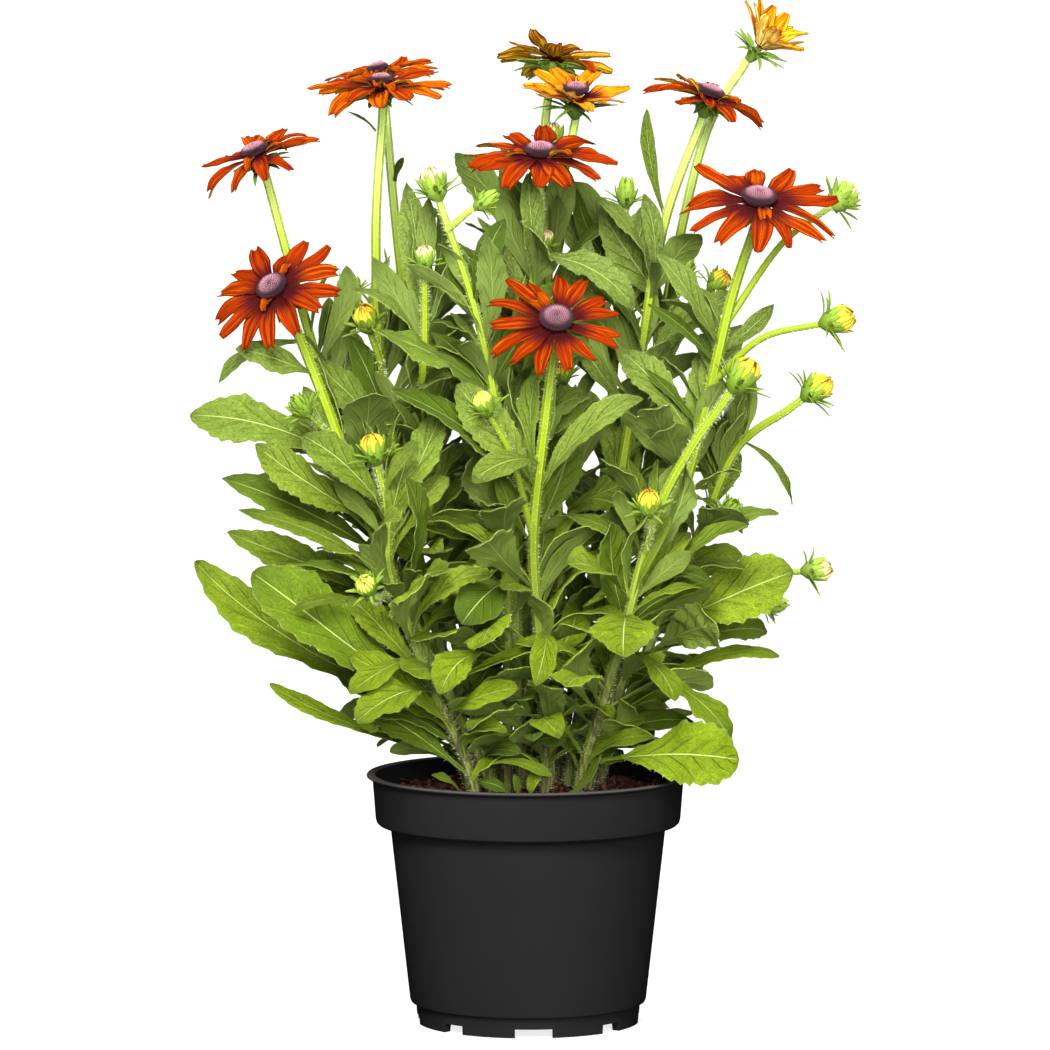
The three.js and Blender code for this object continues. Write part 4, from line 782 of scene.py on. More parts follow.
def laid(shape, place, first, second, third):
    """Points of a shape carried to a place and to three directions."""
    across = place + np.outer(shape[:, 0], first) + np.outer(shape[:, 1], second)
    return across + np.outer(shape[:, 2], third)


class Piece:
    """Gathers shapes that are laid from templates into one object."""

    def __init__(self):
        self.bm = bmesh.new()
        self.rest = {}

    def add(self, template, points, tint=0.5, skin=0.0, slot=0):
        """Adds the template with its corners at points, in mm."""
        if template.name not in self.rest:
            self.rest[template.name] = corners(template)
        count = len(template.vertices)
        skins = np.broadcast_to(skin, count).astype(float)
        template.vertices.foreach_set("co", (points * MM).ravel())
        template.attributes["tint"].data.foreach_set("value", np.full(count, tint))
        template.attributes["skin"].data.foreach_set("value", skins)
        template.polygons.foreach_set("material_index", np.full(len(template.polygons), slot))
        self.bm.from_mesh(template)
        template.vertices.foreach_set("co", self.rest[template.name].ravel())

    def finish(self, name, materials, nodes, sharp=math.radians(50)):
        """Makes the object, parents it to the body and hides the frame's nodes that it stands for."""
        mesh = bpy.data.meshes.new(name)
        self.bm.to_mesh(mesh)
        self.bm.free()
        for material in materials:
            mesh.materials.append(material)
        mesh.polygons.foreach_set("use_smooth", np.ones(len(mesh.polygons), dtype=bool))
        mesh.set_sharp_from_angle(angle=sharp)
        piece = bpy.data.objects.new(name, mesh)
        bpy.context.scene.collection.objects.link(piece)
        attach(piece, BODY)
        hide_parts(*nodes)
        return piece


class Shapes:
    """The templates, made when they are first needed."""

    def __init__(self):
        self.made = {}

    def get(self, name, maker, *sizes):
        """The template of a name, made by maker the first time."""
        if name not in self.made:
            self.made[name] = maker(name, *sizes)
        return self.made[name]

    def clear(self):
        """Removes the templates once every piece is laid."""
        for mesh in self.made.values():
            bpy.data.meshes.remove(mesh)
        self.made = {}


SHAPES = Shapes()


def leaf_skin(leaf, along, v, fine):
    """How far along a leaf a point lies, how its teeth widen it, and how its swellings lift it."""
    u = 1 - (1 - along) ** 1.4
    aside = np.minimum(np.abs(v), 1)
    quilt = np.cos(2 * math.pi * VEIN_PAIRS * (along - VEIN_LEAN * aside)) * aside * (1 - aside**3)
    size = leaf["width"] * 0.024
    swing = 2 * math.pi * (FRILLS * along + 0.2 * np.sign(v)) + leaf["phase"]
    frill = 0.45 * size * aside**3 * np.sin(swing)
    relief = frill - size * quilt - size * np.exp(-((v / 0.22) ** 2)) * (1 - u)
    tooth = (TEETH * along + leaf["phase"]) % 1 - 0.5
    teeth = 1 + (0.17 if fine else 0.1) * aside**6 * tooth
    return u, teeth, relief


def add_leaf(piece, leaf, thickness, tint, fine=True, slot=0):
    """A leaf with teeth, a frilled rim, a sunken midrib and quilting between its veins."""
    rows, columns = FINE_CELLS if fine else COARSE_CELLS
    template = SHAPES.get(f"leaf {rows}", grid_template, rows, columns)
    along, v, w = corners(template).T
    u, teeth, relief = leaf_skin(leaf, along, v, fine)
    petiole = np.where(u < 0.5, STALK_HALF, NARROW_HALF)
    lift = w * thickness + relief
    points = blade_points(leaf, leaf_outline(u, leaf), u, v * teeth, lift, petiole)
    piece.add(template, points, tint, skin=w, slot=slot)


def add_fringe(piece, leaf, slot):
    """Fine pale hairs that stand out from the rims of a leaf."""
    template = SHAPES.get("fringe", fringe_template, FRINGE_HAIRS)
    place, v, thick = corners(template).T
    out = np.abs(v) - 1
    along = np.clip(place + 0.012 * out * np.sin(61 * place), 0, 1)
    u, teeth, relief = leaf_skin(leaf, along, v, True)
    outline = leaf_outline(u, leaf)
    half = np.maximum(0.5 * leaf["width"] * outline, STALK_HALF)
    reach = FRINGE_REACH * (0.7 + 0.3 * np.sin(37 * place)) / half
    across = np.sign(v) * (0.98 * teeth + out * reach)
    lift = relief + 0.06 * thick / FRINGE_FOOT + out * 0.7 * np.sin(83 * place)
    points = blade_points(leaf, outline, u, across, lift, RIM_HALF)
    piece.add(template, points, slot=slot)


def add_rod(piece, curve, radii, sides, rows, ribs=0.0, tint=0.5, slot=0):
    """A ribbed bar along a curve, its radius changing evenly from end to end."""
    template = SHAPES.get(f"rod {sides} {rows}", rod_template, sides, rows)
    rest = corners(template)
    side = vec((1, 0, 0))
    points = np.empty_like(rest)
    ring_of = np.rint(rest[:, 2] * rows).astype(int)
    for ring in range(rows + 1):
        share = ring / rows
        heading = curve.heading(share)
        side = unit(side - heading * (side @ heading))
        other = np.cross(heading, side)
        here = ring_of == ring
        angle = np.arctan2(rest[here, 1], rest[here, 0])
        spread = np.hypot(rest[here, 0], rest[here, 1])
        radius = mix(*radii, share) * (1 + ribs * np.cos(angle * sides / 2)) * spread
        ring_points = curve.at(share) + np.outer(radius * np.cos(angle), side)
        points[here] = ring_points + np.outer(radius * np.sin(angle), other)
    ridge = np.cos(np.arctan2(rest[:, 1], rest[:, 0]) * sides / 2)
    piece.add(template, points, tint, skin=ridge, slot=slot)


def add_hairs(piece, curve, radii, count, length, seed, slot=0, start=0.0):
    """Fine hairs that stand out from a bar at seeded places."""
    template = SHAPES.get("hair", cone_template, 3)
    rest = corners(template)
    rng = np.random.default_rng(seed)
    for share, angle, tilt, size in rng.random((count, 4)):
        share = mix(start, 1, share)
        heading = curve.heading(share)
        first = unit(np.cross(heading, (0.3, 1, 0.1)))
        outward = turned(first, np.cross(heading, first), 2 * math.pi * angle)
        way = unit(outward + heading * (0.9 * tilt - 0.25))
        other = unit(np.cross(way, heading))
        foot = curve.at(share) + outward * mix(*radii, share) * 0.9
        reach = length * (0.5 + 0.8 * size)
        hair = rest * (HAIR_THICKNESS, HAIR_THICKNESS, reach)
        piece.add(template, laid(hair, foot, other, np.cross(way, other), way), slot=slot)


def add_turned(piece, head, name, profile, steps, tint=0.5, slot=0, scale=1.0):
    """A profile turned about a head's axis."""
    template = SHAPES.get(f"{name} {steps}", spun_template, profile, steps)
    piece.add(template, head.place(corners(template) * scale), tint, slot=slot)


def add_blade(piece, blade, outline, thickness, template, tint, slot=0, grooves=0.0, notch=0.0):
    """A ray or a bract: a narrow blade with grooves along it and a notched tip."""
    u, v, w = corners(template).T
    groove = grooves * np.cos(2 * math.pi * v / PLEAT) * np.minimum(1, 4 * u) * (1 - 0.5 * u)
    reach = u * (1 - notch * (1 - np.abs(v)) * u**3)
    points = blade_points(blade, outline(reach), reach, v, w * thickness + groove, NARROW_HALF)
    piece.add(template, points, tint, skin=w, slot=slot)


# Materials.

# Leaves: grey green with hair high up, painted shade low down and on leaves of low tint, and their
# hairs, veins and undersides.
HAIRY_GREEN = (0.28, 0.385, 0.115)
SHADED_GREEN = (0.07, 0.13, 0.006)
DOWN_GREEN = (0.48, 0.6, 0.26)
VEIN_GREEN = (0.44, 0.56, 0.14)
UNDER_GREEN = (0.32, 0.44, 0.09)
HAIR_TONES = ((0.42, 0.5, 0.25), (0.72, 0.78, 0.52))
# Stems: the ridges, the high part and its ridges, cups, the darker low part and the purple foot.
STEM_RIDGE = (0.31, 0.39, 0.015)
STEM_HIGH, STEM_HIGH_RIDGE = (0.3, 0.4, 0.06), (0.5, 0.59, 0.24)
CUP_GREEN = (0.07, 0.14, 0.012)
STEM_LOW_DARK, STEM_PURPLE = (0.11, 0.14, 0.03), (0.05, 0.025, 0.02)
# Bracts from low to high tint, their ridge and their flecks.
BRACT_TONES = ((0.035, 0.08, 0.006), (0.2, 0.3, 0.028))
BRACT_RIDGE, BRACT_FLECK = (0.31, 0.41, 0.09), (0.08, 0.15, 0.015)
# Rays and furled rays.
MAROON = (0.045, 0.005, 0.006)
DARK_RED = (0.1, 0.007, 0.002)
RAY_TIPS = {"orange": (0.6, 0.145, 0.002), "amber": (0.92, 0.5, 0.02)}
RAY_UNDERSIDES = {
    "orange": ((0.3, 0.08, 0.004), (0.74, 0.46, 0.025)),
    "amber": ((0.62, 0.26, 0.012), (0.84, 0.7, 0.2)),
}
BUD_COLORS = {
    "yellow": ((0.66, 0.47, 0.008), (0.8, 0.63, 0.06), (0.36, 0.12, 0.015)),
    "cream": ((0.66, 0.5, 0.18), (0.8, 0.7, 0.36), (0.22, 0.08, 0.07)),
    "lime": ((0.44, 0.5, 0.04), (0.66, 0.7, 0.14), (0.3, 0.26, 0.03)),
}
BUD_FOOT = (0.3, 0.42, 0.012)
# Florets of the dark ring, and the painted shade in the gaps between florets.
FLORET_RING, FLORET_GAP_SHADE = (0.028, 0.01, 0.015), (0.02, 0.007, 0.01)
# The painted highlight on the pot's lip, light peat, and the floor's paper.
LIP_HIGHLIGHT_GREY = (0.05, 0.046, 0.044)
PEAT_LIGHT = (0.25, 0.1, 0.055)
PAPER_TONES = ((0.19, 0.19, 0.19), (0.21, 0.21, 0.21))


def socket_of(node, name):
    """A node's input in use, by its name."""
    return next(socket for socket in node.inputs if socket.name == name and socket.enabled)


def wire(tree, source, target, name):
    """Feeds a node's input from a socket or sets it to a value."""
    socket = socket_of(target, name) if isinstance(name, str) else target.inputs[name]
    if isinstance(source, bpy.types.NodeSocket):
        tree.links.new(source, socket)
    else:
        socket.default_value = source


def math_node(tree, operation, first, second=0.0, third=0.0, clamp=False):
    """The result of arithmetic on values or sockets."""
    node = tree.nodes.new("ShaderNodeMath")
    node.operation = operation
    node.use_clamp = clamp
    for number, value in enumerate((first, second, third)):
        wire(tree, value, node, number)
    return node.outputs[0]


def spread_node(tree, value, low, high, to_low=0.0, to_high=1.0):
    """A value carried from one range to another, smoothly at both ends."""
    node = tree.nodes.new("ShaderNodeMapRange")
    node.interpolation_type = "SMOOTHSTEP"
    for name, number in zip(("Value", "From Min", "From Max", "To Min", "To Max"),
                            (value, low, high, to_low, to_high)):
        wire(tree, number, node, name)
    return node.outputs[0]


def mix_node(tree, factor, first, second):
    """The colour at a factor of the way from first to second."""
    node = tree.nodes.new("ShaderNodeMix")
    node.data_type = "RGBA"
    wire(tree, factor, node, "Factor")
    wire(tree, first, node, "A")
    wire(tree, second, node, "B")
    return socket_out(node, "Result")


def socket_out(node, name):
    """A node's output in use, by its name."""
    return next(socket for socket in node.outputs if socket.name == name and socket.enabled)


def noise_node(tree, vector, scale, detail=3.0, roughness=0.55):
    """Soft noise from 0 to 1."""
    node = tree.nodes.new("ShaderNodeTexNoise")
    wire(tree, vector, node, "Vector")
    wire(tree, scale, node, "Scale")
    wire(tree, detail, node, "Detail")
    wire(tree, roughness, node, "Roughness")
    return node.outputs["Fac"]


def stretched(tree, vector, scale):
    """A vector scaled apart along its three directions."""
    node = tree.nodes.new("ShaderNodeMapping")
    wire(tree, vector, node, "Vector")
    node.inputs["Scale"].default_value = scale
    return node.outputs[0]


def object_place(tree):
    """The place on the object, in metres."""
    return tree.nodes.new("ShaderNodeTexCoord").outputs["Object"]


def attribute_value(tree, name):
    """A value that the mesh carries."""
    node = tree.nodes.new("ShaderNodeAttribute")
    node.attribute_name = name
    return node.outputs["Fac"]


def blade_place(tree):
    """The share along a blade, the share across it from -1 to 1, and the UV vector itself."""
    uv = tree.nodes.new("ShaderNodeUVMap")
    uv.uv_map = "UVMap"
    apart = tree.nodes.new("ShaderNodeSeparateXYZ")
    tree.links.new(uv.outputs[0], apart.inputs[0])
    across = math_node(tree, "MULTIPLY_ADD", apart.outputs["Y"], 2.0, -1.0)
    return apart.outputs["X"], across, uv.outputs[0]


def node_group(name, inputs, outputs):
    """A shader node group with named inputs and outputs, and its two end nodes."""
    tree = bpy.data.node_groups.new(name, "ShaderNodeTree")
    for label, kind, value in inputs:
        socket = tree.interface.new_socket(label, in_out="INPUT", socket_type=kind)
        socket.default_value = value
    for label, kind in outputs:
        tree.interface.new_socket(label, in_out="OUTPUT", socket_type=kind)
    return tree, tree.nodes.new("NodeGroupInput"), tree.nodes.new("NodeGroupOutput")


def use_group(tree, group, **inputs):
    """Places a group with its own values."""
    node = tree.nodes.new("ShaderNodeGroup")
    node.node_tree = group
    for name, value in inputs.items():
        wire(tree, value, node, name.replace("_", " "))
    return node


def vein_group():
    """Where the midrib and the side veins run on a blade, and how the skin swells between."""
    number = "NodeSocketFloat"
    tree, inside, outside = node_group(
        "Leaf Veins",
        [("Pairs", number, VEIN_PAIRS), ("Lean", number, VEIN_LEAN), ("Width", number, 0.14)],
        [("Midrib", number), ("Veins", number), ("Net", number), ("Relief", number)],
    )
    along, across, uv = blade_place(tree)
    aside = math_node(tree, "ABSOLUTE", across)
    wander = noise_node(tree, stretched(tree, uv, (7, 3, 1)), 2.0)
    leaning = math_node(tree, "MULTIPLY", aside, inside.outputs["Lean"])
    place = math_node(tree, "SUBTRACT", along, leaning)
    place = math_node(tree, "MULTIPLY_ADD", wander, 0.05, place)
    phase = math_node(tree, "FRACT", math_node(tree, "MULTIPLY", place, inside.outputs["Pairs"]))
    distance = math_node(tree, "ABSOLUTE", math_node(tree, "SUBTRACT", phase, 0.5))
    edge = math_node(tree, "SUBTRACT", 0.5, inside.outputs["Width"])
    line = spread_node(tree, distance, edge, 0.5)
    fade = spread_node(tree, aside, 0.95, 0.4)
    veins = math_node(tree, "MULTIPLY", line, fade)
    taper = math_node(tree, "MULTIPLY_ADD", along, -0.06, 0.085)
    midrib = spread_node(tree, aside, taper, 0.01)
    cells = tree.nodes.new("ShaderNodeTexVoronoi")
    cells.feature = "DISTANCE_TO_EDGE"
    wire(tree, stretched(tree, uv, (30, 11, 1)), cells, "Vector")
    net = spread_node(tree, cells.outputs["Distance"], 0.16, 0.0)
    sunk = math_node(tree, "MAXIMUM", veins, midrib)
    sunk = math_node(tree, "MAXIMUM", sunk, math_node(tree, "MULTIPLY", net, 0.45))
    relief = math_node(tree, "SUBTRACT", 1.0, sunk)
    for name, value in (("Midrib", midrib), ("Veins", veins), ("Net", net), ("Relief", relief)):
        wire(tree, value, outside, name)
    return tree


def mottle_group():
    """Uneven colour and fine grain, read from the place on the object."""
    number = "NodeSocketFloat"
    tree, inside, outside = node_group(
        "Mottle",
        [("Patch Scale", number, 60.0), ("Grain Scale", number, 900.0)],
        [("Patches", number), ("Grain", number)],
    )
    place = object_place(tree)
    wire(tree, noise_node(tree, place, inside.outputs["Patch Scale"]), outside, "Patches")
    wire(tree, noise_node(tree, place, inside.outputs["Grain Scale"], 4.0, 0.7), outside, "Grain")
    return tree


def streak_group():
    """Streaks that run along a blade, some fine and some broad."""
    number = "NodeSocketFloat"
    tree, inside, outside = node_group(
        "Streaks",
        [("Fine Count", number, 13.0), ("Broad Count", number, 4.0)],
        [("Fine", number), ("Broad", number)],
    )
    along, across, _ = blade_place(tree)
    tint = attribute_value(tree, "tint")
    for name, source in (("Fine", "Fine Count"), ("Broad", "Broad Count")):
        join = tree.nodes.new("ShaderNodeCombineXYZ")
        wire(tree, math_node(tree, "MULTIPLY", along, 1.6), join, "X")
        wire(tree, math_node(tree, "MULTIPLY", across, inside.outputs[source]), join, "Y")
        wire(tree, math_node(tree, "MULTIPLY", tint, 40.0), join, "Z")
        wire(tree, noise_node(tree, join.outputs[0], 1.0, 2.0), outside, name)
    return tree


class Palette:
    """The materials, made when they are first needed."""

    def __init__(self):
        self.made = {}
        self.groups = {}

    def group(self, name, maker):
        """The node group of a name."""
        if name not in self.groups:
            self.groups[name] = maker()
        return self.groups[name]

    def get(self, name, maker, *values):
        """The material of a name, given its look by maker the first time."""
        if name not in self.made:
            material = bpy.data.materials.new(name)
            material.use_nodes = True
            tree = material.node_tree
            shader = tree.nodes["Principled BSDF"]
            maker(tree, shader, *values)
            self.made[name] = material
        return self.made[name]


PALETTE = Palette()


def tone(color, share=1.0, toward=(0, 0, 0)):
    """A colour mixed toward another, with its alpha."""
    return tuple(mix(end, value, share) for value, end in zip(color, toward)) + (1.0,)


def height_above(tree):
    """The height on the object, in metres."""
    apart = tree.nodes.new("ShaderNodeSeparateXYZ")
    tree.links.new(object_place(tree), apart.inputs[0])
    return apart.outputs["Z"]


def mottled(tree, **scales):
    """Uneven colour and grain at the scales of a material."""
    return use_group(tree, PALETTE.group("mottle", mottle_group), **scales)


def set_gloss(shader, specular, roughness=None):
    """Sets a shader's even gloss."""
    shader.inputs["Specular IOR Level"].default_value = specular
    if roughness is not None:
        shader.inputs["Roughness"].default_value = roughness


def add_bump(tree, shader, height, strength, distance):
    """Raises the skin by a height map."""
    bump = tree.nodes.new("ShaderNodeBump")
    bump.inputs["Strength"].default_value = strength
    bump.inputs["Distance"].default_value = distance
    wire(tree, height, bump, "Height")
    wire(tree, bump.outputs[0], shader, "Normal")


def leaf_look(tree, shader, grown, young):
    """Yellow green low down and grey with fine hair high up, paler along its midrib and rims, with
    painted shade: dark green on leaves of low tint, and darker along the sunken veins and net.
    """
    veins = use_group(tree, PALETTE.group("veins", vein_group))
    mottle = mottled(tree, Grain_Scale=560.0)
    tint = attribute_value(tree, "tint")
    skin = attribute_value(tree, "skin")
    _, across, _ = blade_place(tree)
    patches = math_node(tree, "MULTIPLY_ADD", mottle.outputs["Patches"], 1.1, -0.55)
    age = math_node(tree, "ADD", tint, patches, clamp=True)
    color = mix_node(tree, age, tone(grown), tone(young))
    hairy = spread_node(tree, height_above(tree), 0.2, 0.46, 0.0, 0.6)
    hairy = math_node(tree, "MULTIPLY", hairy, spread_node(tree, tint, 0.0, 0.5, 0.3, 1.0))
    color = mix_node(tree, hairy, color, tone(HAIRY_GREEN))
    # Painted shade: leaves of low tint, the low and loose ones most of all, are mixed toward a dark
    # shaded green.
    deep = spread_node(tree, tint, 0.3, 0.0, 0.0, 0.85)
    color = mix_node(tree, deep, color, tone(SHADED_GREEN))
    fleck = spread_node(tree, mottle.outputs["Grain"], 0.5, 0.34, 0.0, 0.65)
    color = mix_node(tree, fleck, color, tone(grown, 0.55))
    # Painted shade: the sunken side veins and the net between the swellings are darkened toward a dark
    # green.
    veined = math_node(tree, "MULTIPLY", veins.outputs["Veins"], 0.8)
    sunk = math_node(tree, "MAXIMUM", veined, veins.outputs["Net"])
    color = mix_node(tree, math_node(tree, "MULTIPLY", sunk, 0.85), color, tone(grown, 0.5))
    down = spread_node(tree, mottle.outputs["Grain"], 0.54, 0.7)
    down = math_node(tree, "MULTIPLY", down, math_node(tree, "MULTIPLY_ADD", hairy, 0.6, 0.08))
    color = mix_node(tree, down, color, tone(DOWN_GREEN))
    midrib = math_node(tree, "MULTIPLY", veins.outputs["Midrib"], 0.75)
    color = mix_node(tree, midrib, color, tone(VEIN_GREEN))
    rim = spread_node(tree, math_node(tree, "ABSOLUTE", across), 0.92, 1.0, 0.0, 0.2)
    color = mix_node(tree, rim, color, tone(VEIN_GREEN))
    under = spread_node(tree, skin, -0.1, -0.4, 0.0, 0.6)
    color = mix_node(tree, under, color, tone(UNDER_GREEN))
    rough = spread_node(tree, mottle.outputs["Grain"], 0.2, 0.8, 0.5, 0.75)
    wire(tree, color, shader, "Base Color")
    wire(tree, rough, shader, "Roughness")
    height = math_node(tree, "MULTIPLY_ADD", mottle.outputs["Grain"], 0.35, veins.outputs["Relief"])
    add_bump(tree, shader, height, 1.0, 0.0018)
    set_gloss(shader, 0.05)
    shader.inputs["Sheen Weight"].default_value = 0.03
    shader.inputs["Sheen Roughness"].default_value = 0.4
    shader.inputs["Sheen Tint"].default_value = (0.75, 0.9, 0.5, 1)


def stem_look(tree, shader, color):
    """Paler on its ridges, darker towards the bottom, and purple brown near the peat. A low tint is a
    deeper green.
    """
    mottle = mottled(tree)
    height = height_above(tree)
    streaks = noise_node(tree, stretched(tree, object_place(tree), (500, 500, 25)), 1.0)
    ridge = spread_node(tree, attribute_value(tree, "skin"), -0.2, 1.0, 0.0, 0.55)
    fresh = mix_node(tree, ridge, tone(color), tone(STEM_RIDGE))
    high = mix_node(tree, ridge, tone(STEM_HIGH), tone(STEM_HIGH_RIDGE))
    fresh = mix_node(tree, spread_node(tree, height, 0.44, 0.51), fresh, high)
    fresh = mix_node(tree, attribute_value(tree, "tint"), tone(CUP_GREEN), fresh)
    # Darker towards the bottom of the stem.
    darker_low = math_node(tree, "MULTIPLY", spread_node(tree, height, 0.36, 0.17), 0.75)
    fresh = mix_node(tree, darker_low, fresh, tone(STEM_LOW_DARK))
    purple = spread_node(tree, streaks, 0.62, 0.4)
    aged = math_node(tree, "MULTIPLY", spread_node(tree, height, 0.27, 0.17), purple)
    aged = math_node(tree, "MULTIPLY", aged, 0.85)
    wire(tree, mix_node(tree, aged, fresh, tone(STEM_PURPLE)), shader, "Base Color")
    set_gloss(shader, 0.2, 0.6)
    add_bump(tree, shader, mottle.outputs["Grain"], 0.4, 0.0003)


def bract_look(tree, shader):
    """Lime where the tint is high, deep green where it is low, paler along the middle."""
    mottle = mottled(tree)
    _, across, _ = blade_place(tree)
    color = mix_node(tree, attribute_value(tree, "tint"), *map(tone, BRACT_TONES))
    ridge = spread_node(tree, math_node(tree, "ABSOLUTE", across), 0.4, 0.0, 0.0, 0.4)
    color = mix_node(tree, ridge, color, tone(BRACT_RIDGE))
    fleck = spread_node(tree, mottle.outputs["Grain"], 0.35, 0.65, 0.0, 0.3)
    color = mix_node(tree, fleck, color, tone(BRACT_FLECK))
    wire(tree, color, shader, "Base Color")
    set_gloss(shader, 0.12, 0.65)
    add_bump(tree, shader, mottle.outputs["Grain"], 0.4, 0.0004)


def hair_look(tree, shader):
    """Pale green and matt."""
    mottle = mottled(tree)
    color = mix_node(tree, mottle.outputs["Patches"], *map(tone, HAIR_TONES))
    wire(tree, color, shader, "Base Color")
    shader.inputs["Roughness"].default_value = 0.6


def ray_look(tree, shader, color, tip, under):
    """Rays with painted shade in the grooves of their pleats and a painted highlight on their ridges,
    almost black at the foot and gold here and there.
    """
    streaks = use_group(tree, PALETTE.group("streaks", streak_group))
    mottle = mottled(tree)
    along, across, _ = blade_place(tree)
    tint = attribute_value(tree, "tint")
    skin = attribute_value(tree, "skin")
    pleat = math_node(tree, "COSINE", math_node(tree, "MULTIPLY", across, 2 * math.pi / PLEAT))
    broad = math_node(tree, "MULTIPLY_ADD", streaks.outputs["Broad"], 4.4, -2.2)
    fold = math_node(tree, "MULTIPLY_ADD", pleat, 0.55, broad)
    body = tone(color)
    # Painted highlight: the ridges of the pleats, shifted by broad streaks, are mixed toward gold,
    # besides the gold that a warm ray has all over.
    ridge = spread_node(tree, fold, 0.0, 1.2)
    ridge = math_node(tree, "MULTIPLY", ridge, spread_node(tree, along, 0.1, 0.55))
    warm = spread_node(tree, tint, 0.7, 1.3, 0.0, 1.0)
    ridge = math_node(tree, "MAXIMUM", ridge, warm)
    golden = spread_node(tree, tint, 0.2, 1.0)
    gold = mix_node(tree, golden, tone(color, 0.7, tip), tone(tip))
    body = mix_node(tree, ridge, body, gold)
    # Painted shade: the grooves of the pleats are darkened to dark red.
    groove = spread_node(tree, fold, -0.2, -1.2, 0.0, 0.85)
    body = mix_node(tree, groove, body, tone(DARK_RED))
    fine = spread_node(tree, streaks.outputs["Fine"], 0.48, 0.6, 0.0, 0.8)
    body = mix_node(tree, fine, body, tone(DARK_RED))
    foot = math_node(tree, "MULTIPLY_ADD", streaks.outputs["Fine"], -0.5, along)
    foot = math_node(tree, "MULTIPLY_ADD", tint, 0.12, foot)
    body = mix_node(tree, spread_node(tree, foot, 0.38, 0.0), body, tone(MAROON))
    stripe = spread_node(tree, streaks.outputs["Broad"], 0.44, 0.58)
    under_body = mix_node(tree, stripe, *map(tone, under))
    body = mix_node(tree, spread_node(tree, skin, -0.1, -0.4, 0.0, 0.9), body, under_body)
    rim = spread_node(tree, math_node(tree, "ABSOLUTE", across), 0.8, 1.0, 0.0, 0.65)
    rim = math_node(tree, "MAXIMUM", rim, spread_node(tree, along, 0.93, 1.0, 0.0, 0.6))
    body = mix_node(tree, rim, body, tone(DARK_RED, 0.8))
    rough = spread_node(tree, mottle.outputs["Grain"], 0.2, 0.8, 0.65, 0.85)
    wire(tree, body, shader, "Base Color")
    wire(tree, rough, shader, "Roughness")
    height = math_node(tree, "MULTIPLY_ADD", mottle.outputs["Grain"], 0.3, streaks.outputs["Fine"])
    add_bump(tree, shader, height, 0.9, 0.001)
    set_gloss(shader, 0.0)


def furled_look(tree, shader, color, pale, tip):
    """The rays of a bud: lime at the foot, streaked with a paler colour, darker at the tip, with
    painted shade on their rims for the gaps between them.
    """
    streaks = use_group(tree, PALETTE.group("streaks", streak_group))
    along, across, _ = blade_place(tree)
    broad = spread_node(tree, streaks.outputs["Broad"], 0.35, 0.65)
    body = mix_node(tree, broad, tone(color), tone(pale))
    fine = spread_node(tree, streaks.outputs["Fine"], 0.52, 0.64, 0.0, 0.75)
    body = mix_node(tree, fine, body, tone(tip))
    body = mix_node(tree, spread_node(tree, along, 0.4, 0.05, 0.0, 0.7), body, tone(BUD_FOOT))
    end = math_node(tree, "MULTIPLY_ADD", streaks.outputs["Fine"], 0.5, along)
    body = mix_node(tree, spread_node(tree, end, 0.95, 1.3, 0.0, 0.7), body, tone(tip))
    # Painted shade: the rims of the furled rays are darkened to stand for the dark gaps between them.
    rim = spread_node(tree, math_node(tree, "ABSOLUTE", across), 0.55, 0.95, 0.0, 0.9)
    body = mix_node(tree, rim, body, tone(color, 0.16))
    wire(tree, body, shader, "Base Color")
    set_gloss(shader, 0.12, 0.65)
    add_bump(tree, shader, streaks.outputs["Fine"], 0.5, 0.0004)


def floret_look(tree, shader, color):
    """Florets: mauve on top of the dome, almost black in a ring round its foot, with painted shade
    darkening the foot of each floret.
    """
    tint = attribute_value(tree, "tint")
    skin = attribute_value(tree, "skin")
    mottle = mottled(tree, Patch_Scale=700.0)
    dull = math_node(tree, "MULTIPLY", mottle.outputs["Patches"], 0.4)
    mauve = mix_node(tree, dull, tone(color), tone(color, 0.4))
    body = mix_node(tree, tint, tone(FLORET_RING), mauve)
    # Painted shade: the lower half of each floret is darkened where the florets crowd together.
    deep = spread_node(tree, skin, 0.1, -0.8, 0.0, 0.5)
    body = mix_node(tree, deep, body, tone(FLORET_GAP_SHADE))
    wire(tree, body, shader, "Base Color")
    set_gloss(shader, 0.12, 0.75)


def plastic_look(tree, shader, color):
    """Satin black plastic, with a painted highlight: paler on the rolled lip where the light catches
    it.
    """
    mottle = mottled(tree, Patch_Scale=14.0, Grain_Scale=1500.0)
    body = mix_node(tree, mottle.outputs["Patches"], tone(color, 0.8), tone(color, 1.15))
    # Painted highlight: a thin pale line round the top of the lip.
    lip = spread_node(tree, height_above(tree), 0.1458, 0.1468)
    body = mix_node(tree, lip, body, tone(LIP_HIGHLIGHT_GREY))
    wire(tree, body, shader, "Base Color")
    rough = math_node(tree, "MULTIPLY_ADD", mottle.outputs["Patches"], 0.1, 0.52)
    wire(tree, rough, shader, "Roughness")
    add_bump(tree, shader, mottle.outputs["Grain"], 0.12, 0.0002)
    set_gloss(shader, 0.0)


def peat_look(tree, shader, color, light):
    """Dark and matt, with crumbs and fibres that are lighter where the tint is high."""
    tint = attribute_value(tree, "tint")
    mottle = mottled(tree, Patch_Scale=220.0, Grain_Scale=2200.0)
    body = mix_node(tree, tint, tone(color, 0.6), tone(light))
    damp = spread_node(tree, mottle.outputs["Patches"], 0.35, 0.7)
    body = mix_node(tree, damp, body, tone(color, 0.35))
    wire(tree, body, shader, "Base Color")
    set_gloss(shader, 0.06, 0.95)
    height = math_node(tree, "ADD", mottle.outputs["Patches"], mottle.outputs["Grain"])
    add_bump(tree, shader, height, 0.9, 0.0012)


